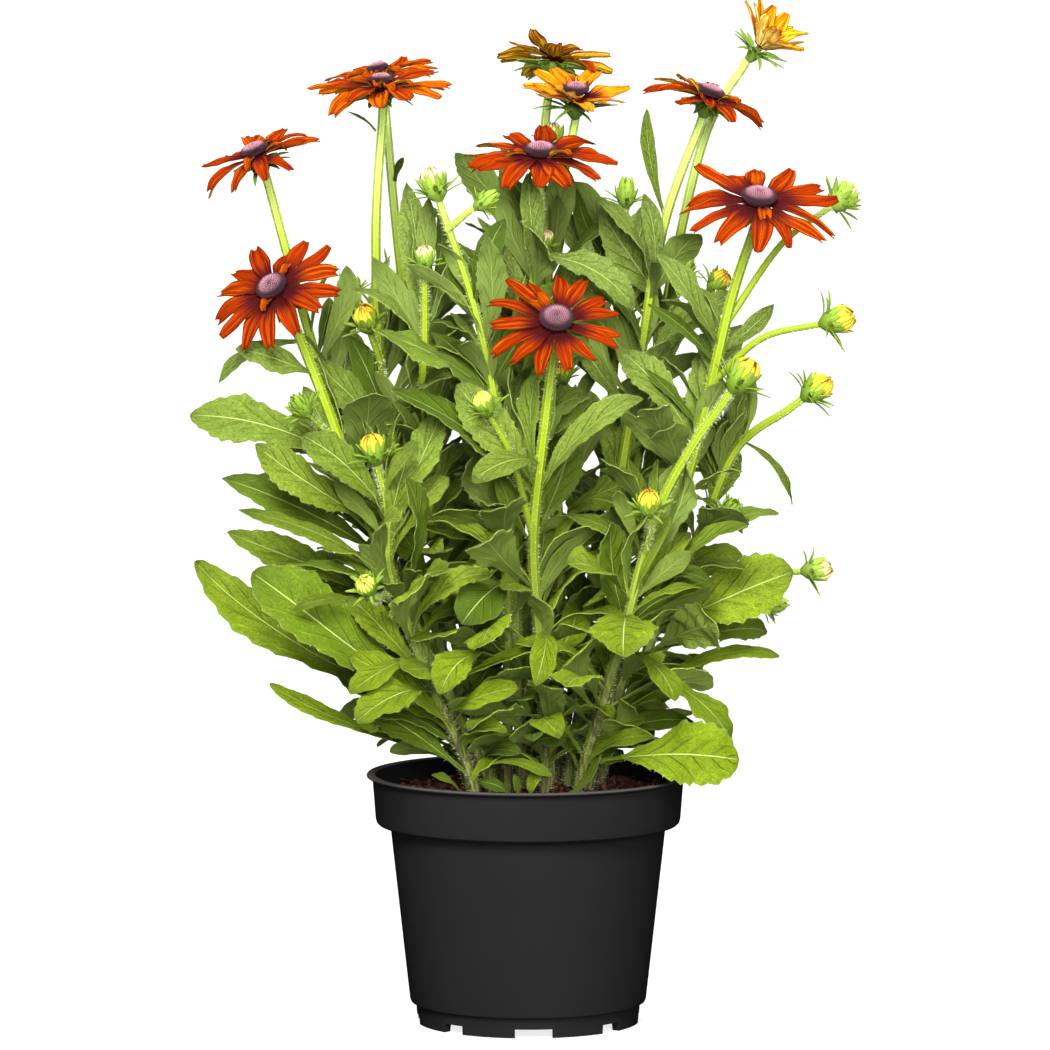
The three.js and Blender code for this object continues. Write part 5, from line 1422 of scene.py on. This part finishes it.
def foliage_materials(settings):
    """The materials of a leafy stem, in the order of their slots."""
    leaf = PALETTE.get("leaf", leaf_look, settings.leaf_color, settings.young_color)
    stem = PALETTE.get("stem", stem_look, settings.stem_color)
    return [leaf, stem, PALETTE.get("hair", hair_look), PALETTE.get("bract", bract_look)]


# Pieces.


def chosen_leaves():
    """The large leaves of the frame: of each leaf's attempts, the one whose tip the stem has."""
    tips = {}
    for name in STEMS:
        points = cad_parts[name].data.vertices
        tree = KDTree(len(points))
        for number, vert in enumerate(points):
            tree.insert(vert.co, number)
        tree.balance()
        tips[name] = tree
    leaves = {name: [] for name in STEMS}

    def keep(name, attempts):
        """Keeps the first attempt whose tip the stem has."""
        for leaf in attempts:
            _, _, distance = tips[name].find(Vector(leaf["tip"] * MM))
            if distance < TIP_TOLERANCE * MM:
                leaves[name].append(leaf)
                return

    for number, row in enumerate(KEY_LEAVES):
        keep(row[0], [key_leaf(row, number, attempt) for attempt in range(KEY_TRIES)])
    for name, (_, _, _, count) in STEMS.items():
        for slot in range(count):
            keep(name, [rule_leaf(name, slot, attempt) for attempt in range(LEAF_TRIES)])
    return leaves


def coarse_tree(leaf):
    """A leaf as a few flat cells, to test what it crosses."""
    rows = 6
    u = np.repeat(np.linspace(0.06, 1, rows), 3)
    v = np.tile((-0.85, 0.0, 0.85), rows)
    points = blade_points(leaf, leaf_outline(u, leaf), u, v, np.zeros_like(u)) * MM
    cells = [(i, i + 1, i + 4, i + 3) for r in range(rows - 1) for i in (3 * r, 3 * r + 1)]
    return BVHTree.FromPolygons([Vector(p) for p in points], cells), points.min(0), points.max(0)


def small_leaves(large, per_stem):
    """Small leaves that fill the clump, each tried in turn until it crosses nothing that stands
    already.
    """
    obstacles = []
    for name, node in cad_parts.items():
        points = corners(node.data)
        cells = [tuple(face.vertices) for face in node.data.polygons]
        obstacles.append((name, BVHTree.FromPolygons([Vector(p) for p in points], cells),
                          points.min(0), points.max(0)))
    for name, leaves in large.items():
        obstacles += [(f"{name} leaf", *coarse_tree(leaf)) for leaf in leaves]
    grown = {name: [] for name in STEMS}
    for name in STEMS:
        for slot in range(per_stem):
            for attempt in range(10):
                leaf = small_leaf(name, slot, attempt)
                if leaf["hidden"] or leaf["tip"][2] < 150 or not inside_envelope(leaf["tip"]):
                    continue
                tree, low, high = coarse_tree(leaf)
                near = [row for row in obstacles if row[0] != name
                        and (row[2] <= high).all() and (low <= row[3]).all()]
                if any(row[1].overlap(tree) for row in near):
                    continue
                obstacles.append((f"{name} leaf", tree, low, high))
                grown[name].append(leaf)
                break
    return grown


def add_bracts(piece, head, row, seed):
    """A ring of narrow green bracts round a head."""
    count, start, height, rise, length, width, bend, turn, tint = row
    template = SHAPES.get("bract", grid_template, 6, 2)
    for k in range(count):
        chance = [draw(seed, k, part) - 0.5 for part in range(5)]
        angle = 2 * math.pi * (k + turn + 0.3 * chance[0]) / count
        bract = head.radial(
            angle, start, height, rise + 0.3 * chance[1],
            length=length * (1 + 0.45 * chance[2]), width=width * (1 + 0.3 * chance[3]),
            bend=bend + 0.5 * chance[4], fold=0.35,
        )
        tinted = tint + 0.3 * chance[2]
        add_blade(piece, bract, bract_outline, BLADE_THICKNESS, template, tinted, BRACT)


def add_calyx(piece, head, name, number, neck):
    """The green cup under a bloom with two rows of narrow bracts."""
    _, _, _, _, disc, rise, _ = BLOOMS[name]
    profile = [(0, CALYX_FOOT), (neck, CALYX_FOOT + 0.5), (disc * 0.6, -8.4),
               (disc * 0.82, CALYX_RIM), (disc * 0.6, CALYX_TOP), (0, CALYX_TOP)]
    add_turned(piece, head, f"calyx {number}", profile, 24, 0.1, STEM)
    rest = min(rise, 0.5) - 0.1
    length, width, tint = BRACTS.get(name, PLAIN_BRACTS)
    rows = (
        (9, disc * 0.7, CALYX_RIM, rest, length, width, 0.2, 0, tint + 0.1),
        (6, disc * 0.68, CALYX_RIM - 1.2, rest - 0.15, length, width * 0.7, 0.4, 0.5, tint),
    )
    for place, row in enumerate(rows):
        add_bracts(piece, head, row, number * 4 + place + 200)


def add_bud_cup(piece, head, bud, number, stalk):
    """The cup of a bud with its bracts: two rows that spread, and two that close a green bud."""
    _, _, radius, color = bud
    green = color == "green"
    top = [(0.7, 0.1), (0.45, 0.6), (0, 0.8)] if green else [(0.7, -0.3), (0, -0.3)]
    profile = [(0, -1.5), (stalk / radius, -1.45), (0.6, -1.05), (0.8, -0.62), *top]
    add_turned(piece, head, f"cup {number}", profile, 20, 0.3, STEM, radius)
    rows = BUD_BRACTS + CLOSING_BRACTS if green else BUD_BRACTS
    for place, (count, start, height, rise, length, width, *rest) in enumerate(rows):
        start, height, length, width = (size * radius for size in (start, height, length, width))
        sized = (count, start, height, rise, length, width, *rest)
        add_bracts(piece, head, sized, number * 6 + place + 300)


def bud_head(name):
    """The place and axis of a bud, at the end of its branch or of its stem."""
    stem, path, _, _ = BUDS[name]
    path = path or STEMS[stem][0]
    return Head(path[-1], vec(path[-1]) - vec(path[-2]))


def make_stem(name, number, leaves, small, settings):
    """One leafy stem with its branches, cups, green buds and hairs."""
    piece = Piece()
    curve, radii = CURVES[name], STEMS[name][1]
    thickness = settings.leaf_thickness / MM
    length = settings.hair_length / MM
    add_rod(piece, curve, radii, 12, 48, 0.07, 1, STEM)
    add_hairs(piece, curve, radii, settings.hairs, length, number, HAIR, 0.14)
    for leaf in leaves + small + loose_leaves(name):
        share = (leaf["root"][2] - LEAF_LOWEST) / (LEAF_HIGHEST - LEAF_LOWEST)
        vary = 1.15 * (draw(leaf["seed"], 10, 9) - 0.5)
        # The shade of low and loose leaves is painted shade: it lowers the tint, which darkens the
        # leaf.
        tint = 0.75 - 0.45 * share + vary - leaf.get("shade", 0)
        fine = leaf["length"] > FINE_LENGTH
        add_leaf(piece, leaf, thickness, min(1, max(0, tint)), fine, LEAF)
        if fine:
            add_fringe(piece, leaf, HAIR)
    for place, (bloom, row) in enumerate(BLOOMS.items()):
        if row[0] == name:
            head = Head(STEMS[name][0][-1], row[1])
            add_calyx(piece, head, bloom, place, radii[1])
    for place, (bud, row) in enumerate(BUDS.items()):
        if row[0] != name:
            continue
        head = bud_head(bud)
        stalk = radii[1]
        if row[1]:
            branch = Curve([*row[1][:-1], head.centre - head.axis * 1.2 * row[2]])
            hairs = settings.hairs // 4
            add_rod(piece, branch, BRANCH_RADII, 10, 24, 0.07, 1, STEM)
            add_hairs(piece, branch, BRANCH_RADII, hairs, length, number + 50 + place, HAIR)
            stalk = BRANCH_RADII[1]
        add_bud_cup(piece, head, row, place, stalk)
    piece.finish(f"leafy_{name}", foliage_materials(settings), [name])


def make_rays(name, number, settings):
    """A bloom's rays in two layers."""
    stem, axis, reach, count, disc, rise, curl = BLOOMS[name]
    head = Head(STEMS[stem][0][-1], axis)
    piece = Piece()
    kind = "amber" if name in AMBER_BLOOMS else "orange"
    color = settings.amber_color if kind == "amber" else settings.ray_color
    material = PALETTE.get(f"ray {kind}", ray_look, color, RAY_TIPS[kind], RAY_UNDERSIDES[kind])
    template = SHAPES.get("ray", grid_template, 13, 10)
    thickness = settings.ray_thickness / MM
    hub = [(0, HUB_FOOT), (disc * 0.72, -0.9), (disc * 0.72, -0.3), (0, HUB_TOP)]
    add_turned(piece, head, f"hub {number}", hub, 24)
    start = disc * 0.6
    longer, wider = RAY_GROWTH.get(name, PLAIN_GROWTH)
    for k in range(count):
        chance = [draw(number + 1, k + 1, part) - 0.5 for part in range(10)]
        ray = head.radial(
            2 * math.pi / count * (k + 0.16 * chance[1]), start, -1 if k % 2 else 0,
            rise + 0.2 * chance[2] - (0.1 if k % 2 else 0),
            length=reach * longer * (1 + 0.16 * chance[3]) - start,
            width=min(15, reach * 0.375) * wider * (1 + 0.2 * chance[4]),
            bend=curl + 0.5 * chance[5], twist=0.8 * chance[6], sway=0.12 * chance[8],
            fold=0.28 + 0.3 * chance[4], wave=0.14, phase=PHASE_TURN * chance[9],
            curl=1.2 * chance[7],
        )
        notch = 0.07 if chance[7] > 0 else -0.07
        tint = min(1, max(0, WARMTH.get(name, PLAIN_WARMTH) + 0.8 * (draw(number, k, 12) - 0.5)))
        add_blade(piece, ray, ray_outline, thickness, template, tint, grooves=0.4, notch=notch)
    for k in range(CURLED_RAYS.get(name, PLAIN_CURLED)):
        chance = [draw(number + 1, k + 40, part) for part in range(5)]
        small = head.radial(
            2 * math.pi * chance[0], start * 1.1, 0.6, rise + 0.3 + 0.5 * chance[1],
            length=reach * (0.28 + 0.2 * chance[2]), width=reach * 0.21,
            bend=0.6 + 1.2 * chance[3], twist=1.2 * (chance[4] - 0.5), fold=0.5, wave=0.2, curl=0.5,
        )
        add_blade(piece, small, ray_outline, thickness, template, 0.9, grooves=0.3)
    if name == SPENT_BLOOM:
        for seed, (root, tip, width, bend, face, tint) in enumerate(SPENT_RAYS):
            ray = leaf_between(vec(root), vec(tip), width, bend, vec(face), seed, 0)
            add_blade(piece, ray, ray_outline, thickness, template, tint, grooves=0.4)
    piece.finish(f"{name}_petals", [material], [f"{name}_rays"])


def make_disc(name, number, settings):
    """A dome packed with florets in spirals, darker in a ring round its foot."""
    stem, axis, _, _, disc, rise, _ = BLOOMS[name]
    head = Head(STEMS[stem][0][-1], axis)
    radius = NARROW_DOMES.get(name, disc * 0.92)
    height = disc * 0.56
    rim = max(0, math.tan(rise) - 0.15) * 0.9 * radius
    foot = DISC_FOOT + rim
    piece = Piece()
    profile = [(0, DISC_FOOT), (0.92 * radius, foot), (radius, foot + 0.3 * height),
               (0.84 * radius, foot + 0.6 * height), (0.6 * radius, foot + 0.82 * height),
               (0.3 * radius, foot + 0.94 * height), (0, foot + 0.96 * height)]
    add_turned(piece, head, f"dome {number}", profile, 32, 0)
    template = SHAPES.get("floret", lump_template, 1)
    rest = corners(template)
    count = int(settings.florets * (radius / 10) ** 1.5)
    size = 1.55 * radius / math.sqrt(count)
    for k in range(count):
        share = math.sqrt((k + 0.5) / count)
        lean = share * 1.5
        out = turned(head.first, head.second, LEAF_TURN * k)
        aside = np.cross(head.axis, out)
        way = turned(head.axis, out, lean * 0.9)
        rise_here = 0.28 * height + 0.68 * height * math.cos(lean) - 0.05 * height * (share < 0.16)
        place = head.centre + out * radius * 0.98 * math.sin(lean) + head.axis * (foot + rise_here)
        long = size * (1.0 + 0.5 * draw(k, number, 3))
        floret = rest * (size * FLORET_HALF, size * FLORET_HALF, long)
        points = laid(floret, place, aside, np.cross(way, aside), way)
        mauve = float(np.interp(share, MAUVE_SHARES, MAUVE_TINTS))
        tint = min(1, mauve * (1 + 0.4 * (draw(k, number, 5) - 0.5)))
        piece.add(template, points, tint, skin=rest[:, 2])
    material = PALETTE.get("florets", floret_look, settings.disc_color)
    piece.finish(f"{name}_florets", [material], [f"{name}_disc"])


def make_bud(name, number):
    """The furled rays that stand out of a bud's cup."""
    _, _, radius, kind = BUDS[name]
    head = bud_head(name)
    piece = Piece()
    material = PALETTE.get(f"bud {kind}", furled_look, *BUD_COLORS[kind])
    template = SHAPES.get("furled ray", grid_template, 7, 4)
    foot = -0.3 * radius + 0.35
    core = [(0, foot), (0.66 * radius, foot), (0.7 * radius, foot + 0.6 * radius),
            (0.4 * radius, foot + 0.9 * radius), (0, foot + 0.95 * radius)]
    add_turned(piece, head, f"core {number}", core, 20, 0.3)
    for count, start, rise, length, bend, turn in BUD_RINGS:
        for k in range(count):
            chance = [draw(number + 60, k + count, part) - 0.5 for part in range(5)]
            ray = head.radial(
                2 * math.pi * (k + turn) / count, start * radius, foot, rise + 0.16 * chance[0],
                length=(length + 0.3 * chance[1]) * radius, width=0.46 * radius,
                bend=bend + 0.5 * chance[2], twist=0.5 * chance[3], fold=0.3, cup=-0.35,
            )
            tint = draw(number, k, count)
            add_blade(piece, ray, furled_outline, BLADE_THICKNESS, template, tint, grooves=0.1)
    piece.finish(f"{name}_petals", [material], [f"{name}_rays"])


POT_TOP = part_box("pot")[1]
LIP_RADIUS = POT_TOP.x / MM
POT_HEIGHT = POT_TOP.z / MM


def make_pot(settings):
    """The nursery pot: rolled lip, deep band, tapered body, and a foot with notches."""
    wall = settings.wall / MM
    outer = [(60.5, 0), (65.2, 0), (66, 11.6), (66.4, 12.2), (69, 12.5), (69.6, 14),
             (80.9, 115), (81.8, 116), (88, 117.6), (89.1, 118.6), (89.7, 121), (91.5, 144.2),
             (93.6, 144.8), (94.8, 145.5), (LIP_RADIUS, 146.2), (94.4, POT_HEIGHT),
             (91.5 - wall + 0.6, POT_HEIGHT - 0.1), (91.5 - wall, POT_HEIGHT - 1)]
    inner = [(89.7 - wall, 122), (80.9 - wall, 116.4), (69 - wall, 13.7), (65.2 - wall, 7.7),
             (0, 7.7)]
    profile = [(0, 6), (59.7, 6), *outer, *inner]
    template = SHAPES.get("pot", spun_template, profile, settings.sides)
    piece = Piece()
    piece.add(template, corners(template))
    material = PALETTE.get("plastic", plastic_look, settings.color)
    pot = piece.finish("nursery_pot", [material], ["pot"], math.radians(32))
    notch_pot(pot)


def notch_pot(pot):
    """Cuts the notches of the foot and the drain holes of the floor."""
    bm = bmesh.new()
    for number in range(NOTCHES):
        size = (NOTCH_DEPTH * MM, NOTCH_WIDTHS[number % 2] * MM, NOTCH_HEIGHT * MM)
        made = bmesh.ops.create_cube(bm, size=1)["verts"]
        bmesh.ops.scale(bm, vec=size, verts=made)
        bmesh.ops.translate(bm, vec=(NOTCH_PLACE * MM, 0, 0), verts=made)
        turn_about_axis(bm, made, NOTCH_START + 360 / NOTCHES * number)
    radius = DRAIN_RADIUS * MM
    for number in range(DRAIN_HOLES):
        made = bmesh.ops.create_cone(bm, segments=24, radius1=radius, radius2=radius,
                                     depth=12 * MM, cap_ends=True)["verts"]
        bmesh.ops.translate(bm, vec=(DRAIN_PLACE * MM, 0, 6 * MM), verts=made)
        turn_about_axis(bm, made, 360 / DRAIN_HOLES * number)
    mesh = bpy.data.meshes.new("notches")
    bm.to_mesh(mesh)
    bm.free()
    cutter = bpy.data.objects.new("notches", mesh)
    bpy.context.scene.collection.objects.link(cutter)
    cut = pot.modifiers.new("notches", "BOOLEAN")
    cut.operation = "DIFFERENCE"
    cut.solver = "EXACT"
    cut.object = cutter
    graph = bpy.context.evaluated_depsgraph_get()
    carved = bpy.data.meshes.new_from_object(pot.evaluated_get(graph))
    pot.modifiers.clear()
    pot.data = carved
    bpy.data.objects.remove(cutter)


def turn_about_axis(bm, verts, degrees):
    """Turns vertices about the pot's axis."""
    matrix = Matrix.Rotation(math.radians(degrees), 3, "Z")
    bmesh.ops.rotate(bm, cent=(0, 0, 0), matrix=matrix, verts=verts)


def peat_height(radius):
    """The height of the peat at a distance from the axis: it is a low mound."""
    return mix(PEAT_MIDDLE, PEAT_RIM, (radius / PEAT_REACH) ** 2)


def peat_place(angle, share, reach):
    """A place on the peat and its height, spread evenly out to a reach."""
    radius = reach * math.sqrt(share)
    x, y = radius * math.cos(PEAT_TURN * angle), radius * math.sin(PEAT_TURN * angle)
    return x, y, peat_height(radius) + crumble(x, y) * CRUMBLE


def make_peat(settings):
    """The peat: an uneven surface with crumbs and fibres lying on it."""
    piece = Piece()
    rings = [PEAT_EDGE * share for share in np.linspace(1, 0.04, 26)]
    profile = [(0, 8.5), (62.7, 8.5), (66.5, 14), (78.3, 116), (87.2, 122.6),
               *[(radius, peat_height(radius)) for radius in rings], (0, PEAT_MIDDLE)]
    template = SHAPES.get("peat", spun_template, profile, 96)
    points = corners(template)
    top = points[:, 2] > PEAT_TOP
    noise = np.array([crumble(x, y) for x, y, _ in points[top]])
    points[top, 2] += noise * CRUMBLE
    piece.add(template, points, 0.15)
    rng = np.random.default_rng(5)
    crumb = SHAPES.get("crumb", lump_template, 1)
    rest = corners(crumb)
    for angle, share, size, *shape in rng.random((settings.crumbs, 8)):
        x, y, height = peat_place(angle, share, CRUMB_REACH)
        spread = (0.5 + 1.7 * size**3) * (0.7 + 0.6 * vec(shape[:3]))
        jag = 1 + 0.28 * np.sin(rest @ (9 * vec(shape[1:4])) + 6 * shape[4])
        place = vec((x, y, height + 0.3 * spread[2]))
        piece.add(crumb, rest * spread * jag[:, None] + place, shape[3])
    fibre = SHAPES.get("fibre", cone_template, 4)
    rest = corners(fibre)
    for angle, share, turn, size, lift in rng.random((settings.fibres, 5)):
        x, y, height = peat_place(angle, share, FIBRE_REACH)
        way = unit((math.cos(PEAT_TURN * turn), math.sin(PEAT_TURN * turn), 0.35 * lift))
        aside = unit(np.cross(way, UP))
        strand = rest * (0.3, 0.3, 4 + 9 * size)
        points = laid(strand, vec((x, y, height + 1)), aside, np.cross(way, aside), way)
        piece.add(fibre, points, 0.95)
    material = PALETTE.get("peat", peat_look, settings.color, PEAT_LIGHT)
    piece.finish("peat", [material], ["soil"])


def crumble(x, y):
    """An uneven height from -1 to 1 for a place on the peat."""
    swings = [math.sin(a * x + b * y + c) for a, b, c in CRUMBLE_WAVES]
    return sum(swings) / len(swings)


# The stage.

CAMERA_PLACE = Vector((-0.0018, -4.0, 0.66))
CAMERA_AIM = Vector((-0.0018, 0.0, 0.2934))
CAMERA_LENS = 235
PLANT_MIDDLE = Vector((0, 0, 0.32))
# Soft lights: name, place, width and height, power and what each is aimed at.
SOFTBOXES = (
    ("key", (-0.55, -2.8, 2.4), (1.2, 1.2), 290, PLANT_MIDDLE),
    ("fill", (0.45, -3.0, 1.0), (1.0, 1.4), 135, PLANT_MIDDLE),
    ("top", (0.1, 0.9, 2.6), (1.2, 1.2), 95, PLANT_MIDDLE),
    ("wall", (0, 2.8, 3.4), (2.6, 0.8), 260, Vector((0, 6, 0.8))),
)
# The floor: its front and back edge, its half width, the sweep's radius and the wall's height.
FLOOR_FRONT, FLOOR_BACK = -1.8, 4
FLOOR_HALF = 1.4
SWEEP_RADIUS = 2
WALL_HEIGHT = 8


def aim(obj, target):
    """Turns a light or the camera to look at a target."""
    obj.rotation_euler = (target - obj.location).to_track_quat("-Z", "Y").to_euler()


def add_camera():
    """A long lens at the photograph's angle."""
    camera = bpy.data.cameras.new("camera")
    camera.lens = CAMERA_LENS
    camera.sensor_width = 36
    camera.clip_end = 50
    holder = bpy.data.objects.new("camera", camera)
    holder.location = CAMERA_PLACE
    aim(holder, CAMERA_AIM)
    bpy.context.scene.collection.objects.link(holder)
    bpy.context.scene.camera = holder


def add_softbox(name, place, size, power, target):
    """A soft rectangular light aimed at a target."""
    light = bpy.data.lights.new(name, "AREA")
    light.shape = "RECTANGLE"
    light.size, light.size_y = size
    light.energy = power
    holder = bpy.data.objects.new(name, light)
    holder.location = place
    aim(holder, target)
    bpy.context.scene.collection.objects.link(holder)


def add_floor():
    """A pale sweep: a floor that curves up into a wall behind."""
    bm = bmesh.new()
    path = [(FLOOR_FRONT, 0)]
    for angle in np.linspace(0, math.pi / 2, 13):
        rise = SWEEP_RADIUS - SWEEP_RADIUS * math.cos(angle)
        path.append((FLOOR_BACK + SWEEP_RADIUS * math.sin(angle), rise))
    path.append((FLOOR_BACK + SWEEP_RADIUS, WALL_HEIGHT))
    verts = [bm.verts.new((-FLOOR_HALF, y, z)) for y, z in path]
    edges = [bm.edges.new(pair) for pair in zip(verts, verts[1:])]
    made = bmesh.ops.extrude_edge_only(bm, edges=edges)["geom"]
    moved = [item for item in made if isinstance(item, bmesh.types.BMVert)]
    bmesh.ops.translate(bm, vec=(2 * FLOOR_HALF, 0, 0), verts=moved)
    mesh = bpy.data.meshes.new("floor")
    bm.to_mesh(mesh)
    bm.free()
    mesh.polygons.foreach_set("use_smooth", np.ones(len(mesh.polygons), dtype=bool))
    mesh.materials.append(PALETTE.get("paper", paper_look))
    floor = bpy.data.objects.new("floor", mesh)
    bpy.context.scene.collection.objects.link(floor)


def paper_look(tree, shader):
    """Dim paper that the camera sees brightly lit, so that it throws little light back."""
    mottle = mottled(tree, Patch_Scale=1.5)
    color = mix_node(tree, mottle.outputs["Patches"], *map(tone, PAPER_TONES))
    wire(tree, color, shader, "Base Color")
    shader.inputs["Roughness"].default_value = 0.9
    glow = tree.nodes.new("ShaderNodeEmission")
    glow.inputs["Strength"].default_value = 0.8
    seen = tree.nodes.new("ShaderNodeAddShader")
    wire(tree, shader.outputs[0], seen, 0)
    wire(tree, glow.outputs[0], seen, 1)
    either = tree.nodes.new("ShaderNodeMixShader")
    wire(tree, tree.nodes.new("ShaderNodeLightPath").outputs["Is Camera Ray"], either, 0)
    wire(tree, shader.outputs[0], either, 1)
    wire(tree, seen.outputs[0], either, 2)
    wire(tree, either.outputs[0], tree.nodes["Material Output"], "Surface")


def add_world():
    """A world that the camera sees white and that lights the plant softly."""
    world = bpy.data.worlds.new("studio")
    world.use_nodes = True
    tree = world.node_tree
    seen = tree.nodes["Background"]
    soft = tree.nodes.new("ShaderNodeBackground")
    for background, strength in ((seen, 1.0), (soft, 0.2)):
        background.inputs["Color"].default_value = (1, 1, 1, 1)
        background.inputs["Strength"].default_value = strength
    either = tree.nodes.new("ShaderNodeMixShader")
    wire(tree, tree.nodes.new("ShaderNodeLightPath").outputs["Is Camera Ray"], either, 0)
    wire(tree, soft.outputs[0], either, 1)
    wire(tree, seen.outputs[0], either, 2)
    wire(tree, either.outputs[0], tree.nodes["World Output"], "Surface")
    bpy.context.scene.world = world


# Operators, one for each piece or group of like pieces.


def settings_of(context):
    """The coneflower's settings in the scene."""
    return context.scene.coneflower


class CONEFLOWER_OT_stage(bpy.types.Operator):
    """Set up the pale floor, the soft lights and the camera."""

    bl_idname = "coneflower.stage"
    bl_label = "Stage"

    def execute(self, context):
        add_camera()
        add_floor()
        add_world()
        for row in SOFTBOXES:
            add_softbox(*row)
        context.scene.view_settings.view_transform = "Standard"
        return {"FINISHED"}


class CONEFLOWER_OT_pot(bpy.types.Operator):
    """Mould the nursery pot with its lip, band, notches and drain holes."""

    bl_idname = "coneflower.pot"
    bl_label = "Nursery Pot"

    def execute(self, context):
        make_pot(settings_of(context).pot)
        return {"FINISHED"}


class CONEFLOWER_OT_peat(bpy.types.Operator):
    """Fill the pot with crumbly peat."""

    bl_idname = "coneflower.peat"
    bl_label = "Peat"

    def execute(self, context):
        make_peat(settings_of(context).peat)
        return {"FINISHED"}


class CONEFLOWER_OT_stems(bpy.types.Operator):
    """Grow the leafy stems with their leaves, bracts, green buds and hairs."""

    bl_idname = "coneflower.stems"
    bl_label = "Leafy Stems"

    def execute(self, context):
        settings = settings_of(context).foliage
        large = chosen_leaves()
        small = small_leaves(large, settings.small_leaves)
        for number, name in enumerate(STEMS):
            make_stem(name, number, large[name], small[name], settings)
        return {"FINISHED"}


class CONEFLOWER_OT_blooms(bpy.types.Operator):
    """Open the blooms: their rays and their discs of florets."""

    bl_idname = "coneflower.blooms"
    bl_label = "Blooms"

    def execute(self, context):
        settings = settings_of(context).bloom
        for number, name in enumerate(BLOOMS):
            make_rays(name, number, settings)
            make_disc(name, number, settings)
        return {"FINISHED"}


class CONEFLOWER_OT_buds(bpy.types.Operator):
    """Furl the rays of the coloured buds."""

    bl_idname = "coneflower.buds"
    bl_label = "Buds"

    def execute(self, context):
        for number, (name, row) in enumerate(BUDS.items()):
            if row[3] != "green":
                make_bud(name, number)
        return {"FINISHED"}


class CONEFLOWER_PT_panel(bpy.types.Panel):
    """Settings and steps of the potted coneflower."""

    bl_idname = "CONEFLOWER_PT_panel"
    bl_label = "Potted Coneflower"
    bl_space_type = "VIEW_3D"
    bl_region_type = "UI"
    bl_category = "Coneflower"

    def draw(self, context):
        settings = settings_of(context)
        for part, operators in (
            ("pot", ["pot"]),
            ("peat", ["peat"]),
            ("foliage", ["stems"]),
            ("bloom", ["blooms", "buds"]),
        ):
            box = self.layout.box()
            group = getattr(settings, part)
            for name in group.__annotations__:
                box.prop(group, name)
            for operator in operators:
                box.operator(f"coneflower.{operator}")
        self.layout.operator("coneflower.stage")


CLASSES = (
    PotSettings,
    PeatSettings,
    FoliageSettings,
    BloomSettings,
    ConeflowerSettings,
    CONEFLOWER_OT_stage,
    CONEFLOWER_OT_pot,
    CONEFLOWER_OT_peat,
    CONEFLOWER_OT_stems,
    CONEFLOWER_OT_blooms,
    CONEFLOWER_OT_buds,
    CONEFLOWER_PT_panel,
)


def register():
    """Registers the classes and the settings."""
    for cls in CLASSES:
        bpy.utils.register_class(cls)
    bpy.types.Scene.coneflower = PointerProperty(type=ConeflowerSettings)


def unregister():
    """Takes the settings and the classes away again."""
    del bpy.types.Scene.coneflower
    for cls in reversed(CLASSES):
        bpy.utils.unregister_class(cls)


def main():
    """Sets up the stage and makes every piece."""
    register()
    bpy.ops.coneflower.stage()
    bpy.ops.coneflower.pot()
    bpy.ops.coneflower.peat()
    bpy.ops.coneflower.stems()
    bpy.ops.coneflower.blooms()
    bpy.ops.coneflower.buds()
    SHAPES.clear()


if __name__ == "__main__":
    main()
